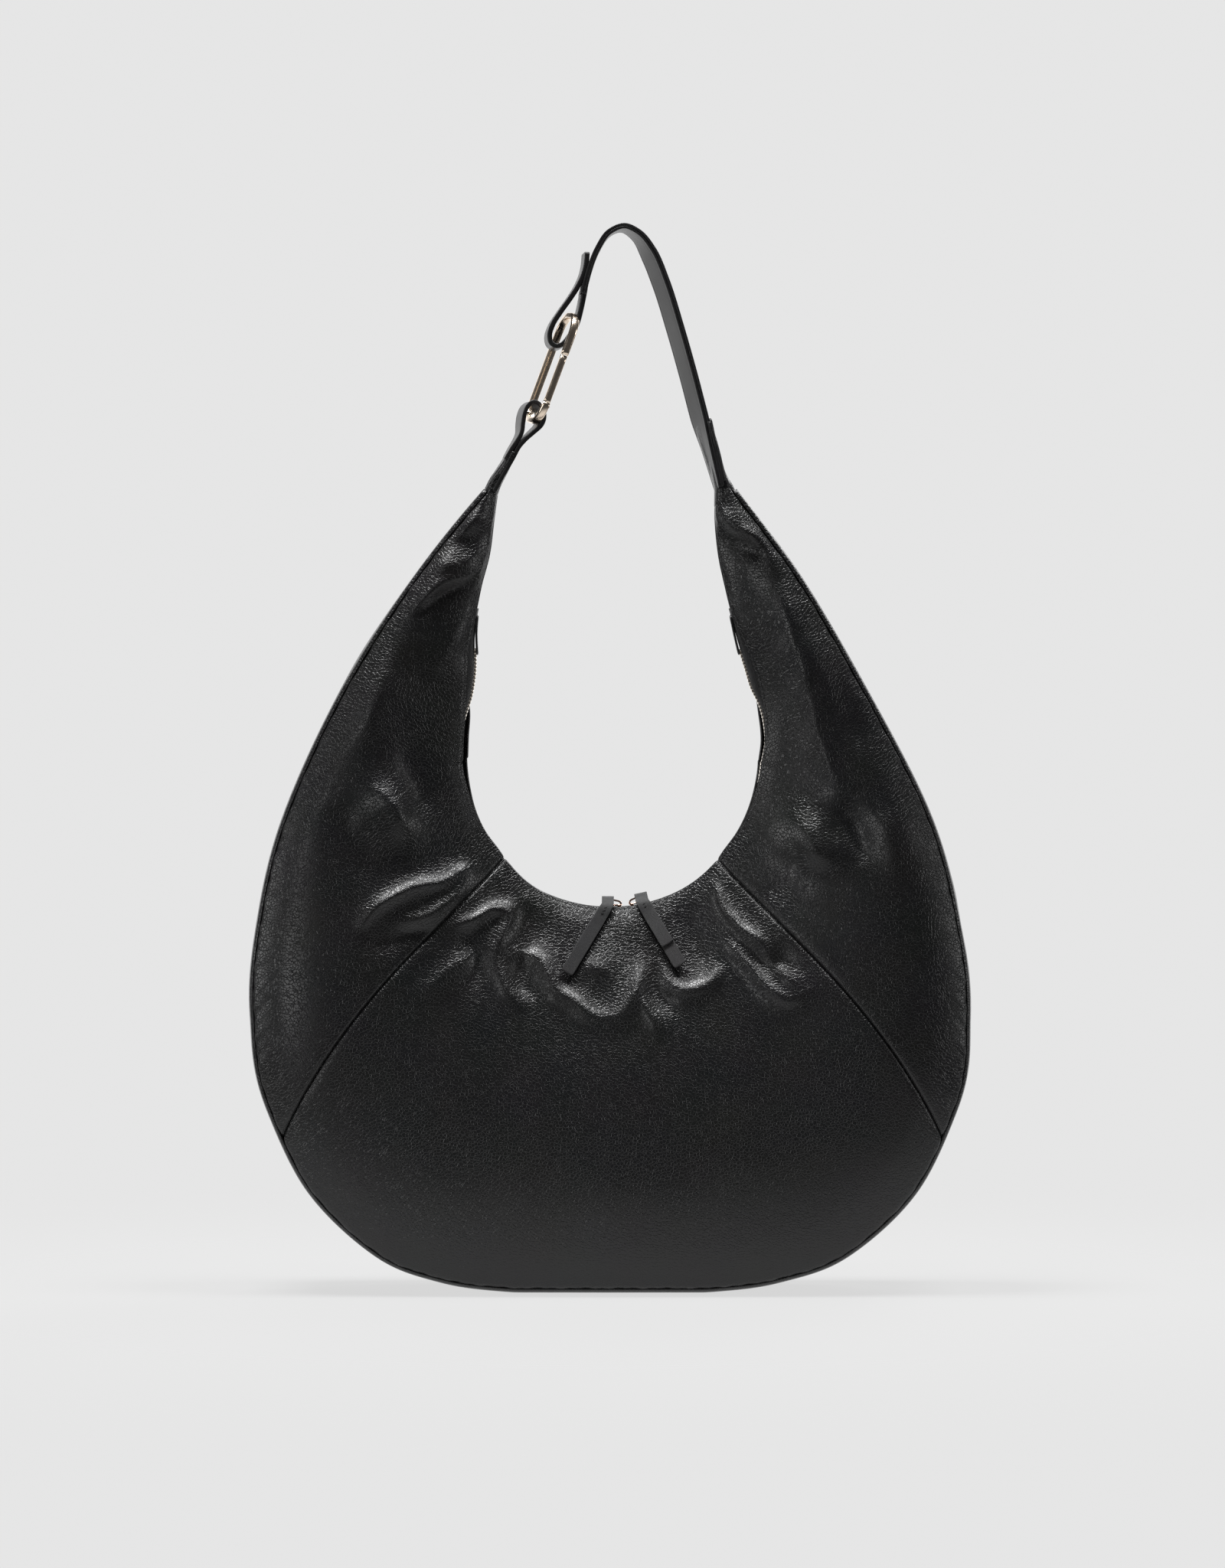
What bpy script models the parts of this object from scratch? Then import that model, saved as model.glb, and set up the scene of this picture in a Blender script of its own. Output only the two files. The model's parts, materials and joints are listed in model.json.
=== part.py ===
"""Hobo bag: leather panels on a gusset, a U-shaped zip along the top and a short shoulder strap.

Metres, +Z up. The bag stands on its base at Z = 0, its front faces -Y, and X = 0 is its middle.
A place on the bag is given by an angle and a share. The angle runs along the crescent, from 0 at the
bottom to HORN_ANGLE at each horn, and is negative on the left. The share runs from the outer edge, 0,
to the zip, 1. For most of its length the zip follows a circle about ZIP_CENTRE, on which the sliders
turn.
"""
import math

import bmesh
import bpy
from mathutils import Matrix, Vector

MM = 0.001

# Bag
LEATHER = 1.6 * MM
LINING = 0.6 * MM
GAP = 0.3 * MM
ZIP_CENTRE = Vector((0.0, 0.0, 0.3305))
ZIP_RADIUS = 0.0930
HORN_ANGLE = 139.7
SEAM_ANGLE = 47.0
ZIP_END_ANGLE = 116.0
LINING_ANGLE = 119.0
STATION = 7.0
SHARE_STEP = 0.125
SEAM_INSET = 5.4 * MM
GUSSET_DROP = 3.0 * MM

# Angle, then x and z of the outer edge: the right half of the crescent's outline.
OUTER_EDGE = (
    (0, 0.0, 0.0), (14, 0.062, 0.0), (24, 0.106, 0.0065), (33, 0.146, 0.021), (42, 0.190, 0.063),
    (50, 0.2155, 0.113), (64, 0.2245, 0.172), (80, 0.2205, 0.231), (98, 0.201, 0.302),
    (112, 0.166, 0.373), (126, 0.121, 0.447), (136, 0.0925, 0.486), (140, 0.079, 0.4995),
)
# Angle, then x and z of the inner edge where it leaves the circle and runs up to the horn.
INNER_EDGE = (
    (90, 0.0930, 0.3305), (98, 0.0921, 0.3434), (112, 0.0870, 0.385), (126, 0.0770, 0.440),
    (136, 0.0695, 0.484), (140, 0.0680, 0.4995),
)
# Angle, then half the gusset's width, the panel's extra swell and half the gap that the zip closes.
DEPTHS = (
    (0, 0.045, 0.014, 0.008), (45, 0.041, 0.012, 0.008), (80, 0.030, 0.009, 0.008),
    (98, 0.024, 0.007, 0.008), (118, 0.016, 0.004, 0.008), (130, 0.011, 0.002, 0.0025),
    (140, 0.008, 0.0, 0.0022),
)

# Zip
CHAIN_INNER = 0.7 * MM
CHAIN_OUTER = 2.9 * MM
CHAIN_HEIGHT = 2.6 * MM
TAPE = 0.6 * MM
SLIDER_LENGTH = 9.2 * MM
CROWN_HEIGHT = 6.0 * MM
CROWN_WIRE = 0.6 * MM
LEFT_SLIDER_ANGLE = -0.4
RIGHT_SLIDER_ANGLE = 12.4

# Strap
SWING_HEIGHT = 0.5140
STRAP_YAW = math.radians(14.0)
STRAP_ACROSS = Vector((math.sin(STRAP_YAW), -math.cos(STRAP_YAW), 0.0))
STRAP_WIDTH = 24.0 * MM
LOOP_WIDTH = 20.0 * MM
STRAP_PLY = 1.4 * MM
LOOP_PLY = 2.6 * MM
# x and z in millimetres along the middle of the strap, from the right horn over the top.
STRAP_LINE = ((65.0, 515.0), (56.6, 543.0), (49.0, 572.0), (40.8, 601.0), (31.7, 630.0), (23.8, 650.0),
              (16.0, 661.5), (7.5, 665.3), (-0.5, 662.0), (-8.0, 652.0), (-14.2, 639.0), (-19.0, 625.5))
# The strap's left end folds up round the ring: from the tail, round the loop, to the strap's end.
UPPER_LOOP_LINE = ((-18.8, 646.0), (-23.6, 632.0), (-27.5, 621.0), (-34.5, 606.5), (-38.3, 597.0),
                   (-36.6, 591.0), (-31.5, 590.0), (-26.0, 595.0), (-20.2, 604.0), (-18.3, 613.5),
                   (-19.2, 623.5))
# The left horn's tab: from the horn up, round the ring's lower end and back to the tab's tail.
HORN_TAB_LINE = ((-64.8, 515.0), (-61.6, 520.5), (-58.6, 526.5), (-54.2, 531.8), (-49.2, 536.2),
                 (-44.8, 540.8), (-43.4, 546.4), (-45.2, 551.6), (-49.2, 554.6), (-53.0, 552.6),
                 (-55.4, 547.6), (-56.4, 541.5), (-56.8, 535.8), (-59.4, 530.6), (-62.3, 526.0),
                 (-64.3, 522.2))
RIGHT_WRAP_LINE = ((70.8, 515.5), (66.6, 528.0), (62.0, 544.0))

# Ring
RING_YAW = math.radians(18.0)
RING_TOP = Vector((-0.0234, 0.0, 0.6110))
RING_DOWN = Vector((-0.3497, 0.0, -0.9369)).normalized()
RING_LENGTH = 74.0 * MM
RING_HALF_WIDTH = 16.0 * MM
RING_BAR = 2.1 * MM
RING_CORNER = 10.0 * MM
GATE_TOP = 9.0 * MM
GATE_FOOT = -21.5 * MM
GATE_PIN = -24.5 * MM
PIN_RADIUS = 0.75 * MM
TONGUE = 1.2 * MM


def clear_scene():
    for existing in list(bpy.data.objects):
        bpy.data.objects.remove(existing, do_unlink=True)


def new_collection(name):
    collection = bpy.data.collections.new(name)
    bpy.context.scene.collection.children.link(collection)
    return collection


def make_material(name, colour, roughness, metallic=0.0):
    material = bpy.data.materials.new(name)
    material.use_nodes = True
    shader = material.node_tree.nodes["Principled BSDF"]
    shader.inputs["Base Color"].default_value = (*colour, 1.0)
    shader.inputs["Roughness"].default_value = roughness
    shader.inputs["Metallic"].default_value = metallic
    material.diffuse_color = (*colour, 1.0)
    return material


clear_scene()
PARTS = new_collection("hobo_bag")
CUTTERS = new_collection("cutters")
PEBBLED = make_material("pebbled_leather", (0.020, 0.020, 0.022), 0.55)
SMOOTH = make_material("smooth_leather", (0.018, 0.018, 0.020), 0.45)
NUBUCK = make_material("pull_leather", (0.030, 0.030, 0.032), 0.75)
FABRIC = make_material("lining_fabric", (0.035, 0.033, 0.032), 0.90)
BOARD = make_material("base_board", (0.10, 0.09, 0.08), 0.80)
GOLD = make_material("pale_gold", (0.86, 0.68, 0.52), 0.22, 1.0)


def smooth(rows, at):
    """Cubic through rows of (position, value, ...), read at one position."""
    last = len(rows) - 1
    index = max(i for i in range(last) if i == 0 or rows[i][0] <= at)

    def slope(i, column):
        before, after = rows[max(i - 1, 0)], rows[min(i + 1, last)]
        return (after[column] - before[column]) / (after[0] - before[0])

    left, right = rows[index], rows[index + 1]
    span = right[0] - left[0]
    t = (at - left[0]) / span
    values = []
    for column in range(1, len(left)):
        rise = (2 * t**3 - 3 * t**2 + 1) * left[column] + (3 * t**2 - 2 * t**3) * right[column]
        bend = (t**3 - 2 * t**2 + t) * slope(index, column) + (t**3 - t**2) * slope(index + 1, column)
        values.append(rise + span * bend)
    return values


def steps(first, last, size):
    """Even steps from first to last, both included, none longer than size."""
    count = max(1, math.ceil(abs(last - first) / size - 1e-6))
    return [first + (last - first) * i / count for i in range(count + 1)]


def station_angles(first, last):
    """Both ends and every whole station between them, so that nested layers bend at the same places."""
    inside = [i * STATION for i in range(math.ceil(first / STATION), math.floor(last / STATION) + 1)]
    inside += [seam for seam in (-SEAM_ANGLE, SEAM_ANGLE) if first < seam < last]
    return sorted({first, last, *inside})


def mirrored(angle, x, z):
    return Vector((math.copysign(x, angle) if angle else 0.0, 0.0, z))


def outer_point(angle):
    x, z = smooth(OUTER_EDGE, abs(angle))
    return mirrored(angle, x, max(z, 0.0))


def inner_point(angle):
    size = abs(angle)
    if size <= 90:
        turn = math.radians(size)
        return mirrored(angle, ZIP_RADIUS * math.sin(turn), ZIP_CENTRE.z - ZIP_RADIUS * math.cos(turn))
    return mirrored(angle, *smooth(INNER_EDGE, size))


def square_inward(angle):
    """Direction into the bag, square to the outer edge."""
    inward = inner_point(angle) - outer_point(angle)
    along = outer_point(angle + 1.0) - outer_point(angle - 1.0)
    return (inward - along * (inward.dot(along) / along.length_squared)).normalized()


def surface_point(angle, share, side):
    """Point on the leather's outer face. The side is -1 at the front and 1 at the back."""
    outer, inner = outer_point(angle), inner_point(angle)
    inward = (inner - outer).normalized()
    start = outer + inward * (SEAM_INSET / inward.dot(square_inward(angle)))
    gusset, swell, zip_gap = smooth(DEPTHS, abs(angle))
    depth = gusset + (zip_gap - gusset) * share**2.2 + swell * math.sin(math.pi * share**0.7)
    point = start.lerp(inner, share)
    point.y = side * depth
    return point


def under_surface(angle, share, side, depth):
    """Point at a depth below the leather's outer face."""
    nudge_angle, nudge_share = 0.5, 0.01
    low = min(max(share - nudge_share, 0.0), 1.0 - 2 * nudge_share)
    along = surface_point(angle + nudge_angle, share, side) - surface_point(angle - nudge_angle, share, side)
    across = surface_point(angle, low + 2 * nudge_share, side) - surface_point(angle, low, side)
    normal = along.cross(across).normalized()
    if normal.y * side < 0:
        normal.negate()
    return surface_point(angle, share, side) - normal * depth


def add_object(name, data, material, parent=None):
    piece = bpy.data.objects.new(name, data)
    piece.data.materials.append(material)
    piece.parent = parent
    PARTS.objects.link(piece)
    return piece


def solidify(piece, thickness):
    """Turns an open surface into a shell, half the thickness on each side."""
    shell = piece.modifiers.new("thickness", "SOLIDIFY")
    shell.thickness = thickness
    shell.offset = 0.0
    shell.use_even_offset = True


def sheet(name, rows, thickness, material, parent=None):
    """Shell of an even thickness about a grid of points, given row by row."""
    mesh = bpy.data.meshes.new(name)
    surface = bmesh.new()
    grid = [[surface.verts.new(point) for point in row] for row in rows]
    for near, far in zip(grid, grid[1:]):
        for i in range(len(near) - 1):
            surface.faces.new((near[i], near[i + 1], far[i + 1], far[i]))
    surface.to_mesh(mesh)
    surface.free()
    mesh.shade_smooth()
    piece = add_object(name, mesh, material, parent)
    solidify(piece, thickness)
    return piece


def curved_line(points, spacing):
    """Points at an even spacing along a smooth curve through the given (x, z) points in millimetres."""
    lengths = [0.0]
    for a, b in zip(points, points[1:]):
        lengths.append(lengths[-1] + math.dist(a, b))
    rows = [(length, *point) for length, point in zip(lengths, points)]
    line = []
    for at in steps(0.0, lengths[-1], spacing):
        x, z = smooth(rows, at)
        line.append(Vector((x * MM, 0.0, z * MM)))
    return line


def offset_line(line, distance):
    """The line moved sideways in the XZ plane, to the left of its direction when seen from the front."""
    moved = []
    for i, point in enumerate(line):
        along = line[min(i + 1, len(line) - 1)] - line[max(i - 1, 0)]
        moved.append(point + Vector((-along.z, 0.0, along.x)).normalized() * distance)
    return moved


def ribbon(name, line, width, thickness, material):
    """Flat leather strip along a line, as wide as given along the strap's own width direction."""
    edge = STRAP_ACROSS * width / 2
    rows = [(point - edge, point + edge) for point in line]
    return sheet(name, rows, thickness, material)


def frame_matrix(origin, x_axis, y_axis, z_axis):
    matrix = Matrix((x_axis, y_axis, z_axis)).transposed().to_4x4()
    matrix.translation = origin
    return matrix


def add_empty(name, matrix, parent=None):
    empty = bpy.data.objects.new(name, None)
    PARTS.objects.link(empty)
    empty.parent = parent
    empty.matrix_world = matrix
    return empty


def box_mesh(name, low, high):
    mesh = bpy.data.meshes.new(name)
    box = bmesh.new()
    size = [b - a for a, b in zip(low, high)]
    middle = [(a + b) / 2 for a, b in zip(low, high)]
    bmesh.ops.create_cube(box, size=1.0, matrix=Matrix.LocRotScale(middle, None, size))
    box.to_mesh(mesh)
    box.free()
    return mesh


def rod_mesh(name, radius, length, x, z):
    """Rod along Y, centred at a place in the XZ plane."""
    mesh = bpy.data.meshes.new(name)
    rod = bmesh.new()
    place = Matrix.Translation((x, 0.0, z)) @ Matrix.Rotation(math.pi / 2, 4, "X")
    bmesh.ops.create_cone(rod, cap_ends=True, segments=16, radius1=radius, radius2=radius, depth=length,
                          matrix=place)
    rod.to_mesh(mesh)
    rod.free()
    return mesh


def wire(name, points, radius, material, parent=None):
    """Round wire along a list of points."""
    curve = bpy.data.curves.new(name, "CURVE")
    curve.dimensions = "3D"
    curve.bevel_depth = radius
    curve.bevel_resolution = 2
    curve.use_fill_caps = True
    spline = curve.splines.new("POLY")
    spline.points.add(len(points) - 1)
    for control, point in zip(spline.points, points):
        control.co = (*point, 1.0)
    return add_object(name, curve, material, parent)


def curve_to_mesh(piece):
    """Replaces a curve object with the mesh that it draws, so that it can be cut."""
    bpy.context.view_layer.update()
    depsgraph = bpy.context.evaluated_depsgraph_get()
    mesh = bpy.data.meshes.new_from_object(piece.evaluated_get(depsgraph))
    weld = bmesh.new()
    weld.from_mesh(mesh)
    bmesh.ops.remove_doubles(weld, verts=weld.verts, dist=1e-6)
    weld.to_mesh(mesh)
    weld.free()
    name, parent = piece.name, piece.parent
    placed = piece.matrix_world.copy()
    bpy.data.objects.remove(piece, do_unlink=True)
    solid = bpy.data.objects.new(name, mesh)
    PARTS.objects.link(solid)
    solid.parent = parent
    solid.matrix_world = placed
    return solid


def cut(piece, mesh, operation="DIFFERENCE"):
    """Cuts a solid, in its own frame, with a mesh, or joins the mesh to it."""
    cutter = bpy.data.objects.new(mesh.name, mesh)
    cutter.parent = piece.parent
    cutter.hide_render = True
    cutter.display_type = "WIRE"
    CUTTERS.objects.link(cutter)
    boolean = piece.modifiers.new(mesh.name, "BOOLEAN")
    boolean.operation = operation
    boolean.solver = "EXACT"
    boolean.object = cutter


def panel(name, first, last, side):
    """Leather panel between two angles, on the front or the back."""
    shares = steps(0.0, 1.0, SHARE_STEP)
    rows = [[under_surface(angle, share, side, LEATHER / 2) for share in shares]
            for angle in station_angles(first, last)]
    sheet(name, rows, LEATHER, PEBBLED)


def panels():
    seam = 0.28
    for label, side in (("front", -1), ("back", 1)):
        panel(label + "_center_panel", -SEAM_ANGLE + seam, SEAM_ANGLE - seam, side)
        panel(label + "_left_wing", -HORN_ANGLE, -SEAM_ANGLE - seam, side)
        panel(label + "_right_wing", SEAM_ANGLE + seam, HORN_ANGLE, side)


def strip_along_edge(name, limit, profile, thickness, material):
    """Strip inside the outer edge. The profile gives shares of the half width and depths."""
    rows = []
    for angle in station_angles(-limit, limit):
        half_width = smooth(DEPTHS, abs(angle))[0]
        inward = square_inward(angle)
        row = []
        for share, depth in profile:
            point = outer_point(angle) + inward * depth
            point.y = share * half_width
            row.append(point)
        rows.append(row)
    sheet(name, rows, thickness, material)


def gusset():
    middle = LEATHER / 2
    edge = GUSSET_DROP + middle
    profile = ((-1.0, edge), (-0.82, middle), (0.82, middle), (1.0, edge))
    strip_along_edge("outer_gusset", HORN_ANGLE, profile, LEATHER, PEBBLED)
    board_depth = 2.0 * MM
    inner = LEATHER + 2 * GAP + board_depth + LINING
    strip_along_edge("gusset_lining", LINING_ANGLE, ((-0.74, inner), (0.74, inner)), LINING, FABRIC)
    low = (-0.060, -0.032, LEATHER + GAP)
    high = (0.060, 0.032, LEATHER + GAP + board_depth)
    add_object("base_board", box_mesh("base_board", low, high), BOARD)


def linings():
    depth = LEATHER + 3 * GAP
    shares = steps(SHARE_STEP, 7 * SHARE_STEP, SHARE_STEP)
    for label, side in (("front", -1), ("back", 1)):
        rows = [[under_surface(angle, share, side, depth) for share in shares]
                for angle in station_angles(-LINING_ANGLE, LINING_ANGLE)]
        sheet(label + "_lining", rows, LINING, FABRIC)
    pocket_depth = depth + LINING + GAP
    pocket_shares = steps(2 * SHARE_STEP, 6 * SHARE_STEP, SHARE_STEP)
    rows = [[under_surface(angle, share, 1, pocket_depth) for share in pocket_shares]
            for angle in station_angles(-3 * STATION, 3 * STATION)]
    sheet("slip_pocket", rows, LINING, FABRIC)


def zip_point(angle, y, depth):
    """Point at a depth below the zip's middle line, towards the outer edge."""
    inner = inner_point(angle)
    point = inner + (outer_point(angle) - inner).normalized() * depth
    point.y = y
    return point


def zip_halves():
    """Tooth rows and tapes. The rows stand apart so that a slider's web can pass between them."""
    tape_depth = LEATHER + GAP + TAPE
    for label, side in (("front", -1), ("back", 1)):
        angles = steps(-ZIP_END_ANGLE, ZIP_END_ANGLE, 4.0)
        chain = [(zip_point(a, side * CHAIN_INNER, 0), zip_point(a, side * CHAIN_OUTER, 0)) for a in angles]
        sheet(label + "_tooth_row", chain, CHAIN_HEIGHT, GOLD)
        tape = []
        for angle in angles:
            near = zip_point(angle, side * (CHAIN_OUTER + GAP), 0)
            bend = zip_point(angle, side * 5.9 * MM, 0.1 * MM)
            tucked = [under_surface(angle, share, side, tape_depth) for share in (0.98, 0.90)]
            tape.append((near, bend, *tucked))
        sheet(label + "_zip_tape", tape, TAPE, FABRIC)
    tab_half_width = 5.4 * MM
    for label, turn in (("left", -1), ("right", 1)):
        rows = [(zip_point(turn * a, -tab_half_width, 0), zip_point(turn * a, tab_half_width, 0))
                for a in (ZIP_END_ANGLE + 0.7, ZIP_END_ANGLE + 2.2, ZIP_END_ANGLE + 3.7)]
        sheet(label + "_zip_end_tab", rows, 1.4 * MM, SMOOTH)


def slider_outline():
    """The slider's section in millimetres, y and z: two plates, a web and lips over the tapes."""
    half = ((0.4, -1.6), (3.2, -1.6), (3.2, -0.6), (4.8, -0.6), (4.8, -2.8))
    right = [(y, z) for y, z in half]
    upper = [(y, -z) for y, z in reversed(half)]
    ring = right[::-1] + upper[::-1]
    return ring + [(-y, z) for y, z in reversed(ring)]


def slider(label, angle):
    """Slider body and its crown, turned to their place on the zip's circle. Returns the pivot."""
    turn = Matrix.Rotation(-math.radians(angle), 4, "Y")
    pivot = add_empty(label + "_slider_pivot", Matrix.Translation(ZIP_CENTRE) @ turn)
    curve = bpy.data.curves.new(label + "_slider_body", "CURVE")
    curve.dimensions = "2D"
    curve.fill_mode = "BOTH"
    curve.extrude = SLIDER_LENGTH / 2
    outline = slider_outline()
    spline = curve.splines.new("POLY")
    spline.use_cyclic_u = True
    spline.points.add(len(outline) - 1)
    for control, (y, z) in zip(spline.points, outline):
        control.co = (y * MM, z * MM, 0.0, 1.0)
    body = add_object(label + "_slider_body", curve, GOLD, pivot)
    body.matrix_local = frame_matrix(Vector((0, 0, -ZIP_RADIUS)), Vector((0, 1, 0)), Vector((0, 0, 1)),
                                     Vector((1, 0, 0)))
    foot, shoulder, reach = 3.15 * MM, 5.2 * MM, 3.9 * MM
    arch = [(-reach, foot), (-reach, shoulder), (-reach + 0.6 * MM, CROWN_HEIGHT)]
    arch += [(-x, z) for x, z in reversed(arch)]
    points = [(x, 0.0, z - ZIP_RADIUS) for x, z in arch]
    wire(label + "_slider_crown", points, CROWN_WIRE, GOLD, pivot)
    return pivot


def pull_tab(label, pivot, lean, front_length, back_length):
    """Leather strip folded round the crown's bar, its legs hanging over the bag's front.

    lean is how far the strip drifts along X for each unit that it hangs down. Lengths are how far
    below the zip the front and the rear leg end.
    """
    # Height above the zip, y, and half the distance between the two legs, in millimetres.
    middle = ((6.0, 0.0, 1.5), (5.6, -5.5, 1.25), (2.2, -10.6, 0.9), (-5.0, -14.0, 0.8),
              (-20.0, -21.2, 0.8), (-45.0, -31.6, 0.8))
    heights = [row[0] for row in middle]
    half_width_top, half_width = 3.0 * MM, 3.6 * MM

    def leg(length, sign):
        points = []
        for i, (z, y, spread) in enumerate(middle):
            before, after = middle[max(i - 1, 0)], middle[min(i + 1, len(middle) - 1)]
            square = Vector((0.0, -(after[0] - before[0]), after[1] - before[1])).normalized()
            points.append(Vector((0.0, y, z)) + square * (-sign * spread))
        share = (length + heights[-2]) / (heights[-2] - heights[-1])
        points[-1] = points[-2].lerp(points[-1], share)
        return points

    front, back = leg(front_length, 1), leg(back_length, -1)
    fold = [Vector((0.0, 1.5 * math.sin(a), 6.0 + 1.5 * math.cos(a)))
            for a in (math.pi * i / 6 for i in range(1, 6))]
    rows = []
    for point in front[::-1] + fold + back:
        drop = max(0.0, 3.0 - point.z)
        share = min(1.0, drop / 12.0)
        across = Vector((1.0, 0.0, lean * share)).normalized()
        reach = half_width_top + (half_width - half_width_top) * share
        centre = point * MM + Vector((lean * drop * MM, 0.0, -ZIP_RADIUS))
        rows.append((centre - across * reach, centre + across * reach))
    sheet(label + "_pull_tab", rows, 1.2 * MM, NUBUCK, pivot)


def sliders_and_pulls():
    left = slider("left", LEFT_SLIDER_ANGLE)
    pull_tab("left", left, -0.62, 41.0, 30.0)
    right = slider("right", RIGHT_SLIDER_ANGLE)
    pull_tab("right", right, 0.31, 28.0, 41.0)


def strap():
    line = curved_line(STRAP_LINE, 9.0)
    apart = (STRAP_PLY + GAP) / 2
    ribbon("strap_inner_ply", offset_line(line, apart), STRAP_WIDTH, STRAP_PLY, SMOOTH)
    ribbon("strap_outer_ply", offset_line(line, -apart), STRAP_WIDTH, STRAP_PLY, SMOOTH)
    ribbon("strap_upper_loop", curved_line(UPPER_LOOP_LINE, 4.0), LOOP_WIDTH, LOOP_PLY, SMOOTH)
    ribbon("left_horn_tab", curved_line(HORN_TAB_LINE, 4.0), LOOP_WIDTH, LOOP_PLY, SMOOTH)
    ribbon("right_horn_wrap", curved_line(RIGHT_WRAP_LINE, 8.0), STRAP_WIDTH, STRAP_PLY, SMOOTH)


def horn_neck(label, bottom_x, top_x, top_half_thickness):
    """Gathered leather that bends between a horn's end and the strap."""
    low, high = 0.4998, SWING_HEIGHT - GAP
    mesh = box_mesh(label + "_horn_neck", (-0.0035, -0.0072, low), (0.0035, 0.0072, high))
    for vertex in mesh.vertices:
        if vertex.co.z > (low + high) / 2:
            vertex.co.x = math.copysign(top_half_thickness, vertex.co.x) + top_x
        else:
            vertex.co.x += bottom_x
    add_object(label + "_horn_neck", mesh, PEBBLED)


def rounded_ring_points():
    """Middle of the ring's bar, from the gate's tip round to the gate's foot, in the ring's frame."""
    half_length = RING_LENGTH / 2 - RING_BAR
    straight_x, straight_z = RING_HALF_WIDTH - RING_CORNER, half_length - RING_CORNER
    points = [Vector((RING_HALF_WIDTH, 0.0, GATE_TOP + GAP))]
    for quarter, (sx, sz) in enumerate(((1, 1), (-1, 1), (-1, -1), (1, -1))):
        centre = Vector((sx * straight_x, 0.0, sz * straight_z))
        for turn in steps(quarter * 90.0, quarter * 90.0 + 90.0, 15.0):
            around = math.radians(turn)
            points.append(centre + Vector((math.cos(around), 0.0, math.sin(around))) * RING_CORNER)
    points.append(Vector((RING_HALF_WIDTH, 0.0, GATE_FOOT - 1.0 * MM)))
    return points


def ring():
    """Long ring with a sprung gate on its front side. Its frame has X across, Y through, Z up the ring."""
    up = -RING_DOWN
    turned = Vector((math.sin(RING_YAW), -math.cos(RING_YAW), 0.0))
    across = (turned - up * turned.dot(up)).normalized()
    centre = RING_TOP + RING_DOWN * RING_LENGTH / 2
    frame = add_empty("ring_frame", frame_matrix(centre, across, up.cross(across), up))
    body = curve_to_mesh(wire("ring_body", rounded_ring_points(), RING_BAR, GOLD, frame))
    slot_half, reach = TONGUE / 2 + GAP, RING_BAR + 0.5 * MM
    slot = ((RING_HALF_WIDTH - reach, -slot_half, GATE_PIN - 3.0 * MM),
            (RING_HALF_WIDTH + reach, slot_half, GATE_FOOT))
    cut(body, box_mesh("gate_slot", *slot))
    cut(body, rod_mesh("ring_pin_hole", PIN_RADIUS + GAP, 8.0 * MM, RING_HALF_WIDTH, GATE_PIN))
    rod_ends = [Vector((RING_HALF_WIDTH, 0.0, z)) for z in (GATE_FOOT, GATE_TOP)]
    gate = curve_to_mesh(wire("ring_gate", rod_ends, RING_BAR, GOLD, frame))
    tongue = ((RING_HALF_WIDTH - 1.7 * MM, -TONGUE / 2, GATE_PIN - 1.8 * MM),
              (RING_HALF_WIDTH + 1.7 * MM, TONGUE / 2, GATE_FOOT + 1.0 * MM))
    cut(gate, box_mesh("gate_tongue", *tongue), "UNION")
    cut(gate, rod_mesh("gate_pin_hole", PIN_RADIUS + GAP, 6.0 * MM, RING_HALF_WIDTH, GATE_PIN))
    pin = rod_mesh("gate_pin", PIN_RADIUS, 3.8 * MM, RING_HALF_WIDTH, GATE_PIN)
    add_object("gate_pin", pin, GOLD, frame)


panels()
gusset()
linings()
zip_halves()
sliders_and_pulls()
strap()
horn_neck("left", -0.0745, -0.0655, 0.0016)
horn_neck("right", 0.0745, 0.0670, 0.0030)
ring()
bpy.context.view_layer.update()
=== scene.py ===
"""Looks of the hobo bag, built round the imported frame. Metres, +Z up, the front faces -Y.

A place on the leather is given by an angle, a share and a side. The angle runs along the crescent from 0
at the bottom to HORN_ANGLE at a horn, negative on the left. The share runs from the outer edge, 0, to the
zip, 1. The side is -1 at the front and 1 at the back.
"""
import math

import bmesh
import bpy
import json
import numpy as np
from mathutils import Matrix, Vector


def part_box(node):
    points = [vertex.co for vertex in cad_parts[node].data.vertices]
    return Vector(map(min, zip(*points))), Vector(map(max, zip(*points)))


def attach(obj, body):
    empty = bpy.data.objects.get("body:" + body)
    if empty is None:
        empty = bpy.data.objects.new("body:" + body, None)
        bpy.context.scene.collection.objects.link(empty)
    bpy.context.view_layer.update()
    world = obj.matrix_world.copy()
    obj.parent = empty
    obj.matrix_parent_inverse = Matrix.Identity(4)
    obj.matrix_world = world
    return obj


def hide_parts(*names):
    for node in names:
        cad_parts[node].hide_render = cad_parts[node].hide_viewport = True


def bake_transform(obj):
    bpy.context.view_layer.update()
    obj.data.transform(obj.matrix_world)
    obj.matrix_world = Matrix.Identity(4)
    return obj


MM = 0.001

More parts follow.
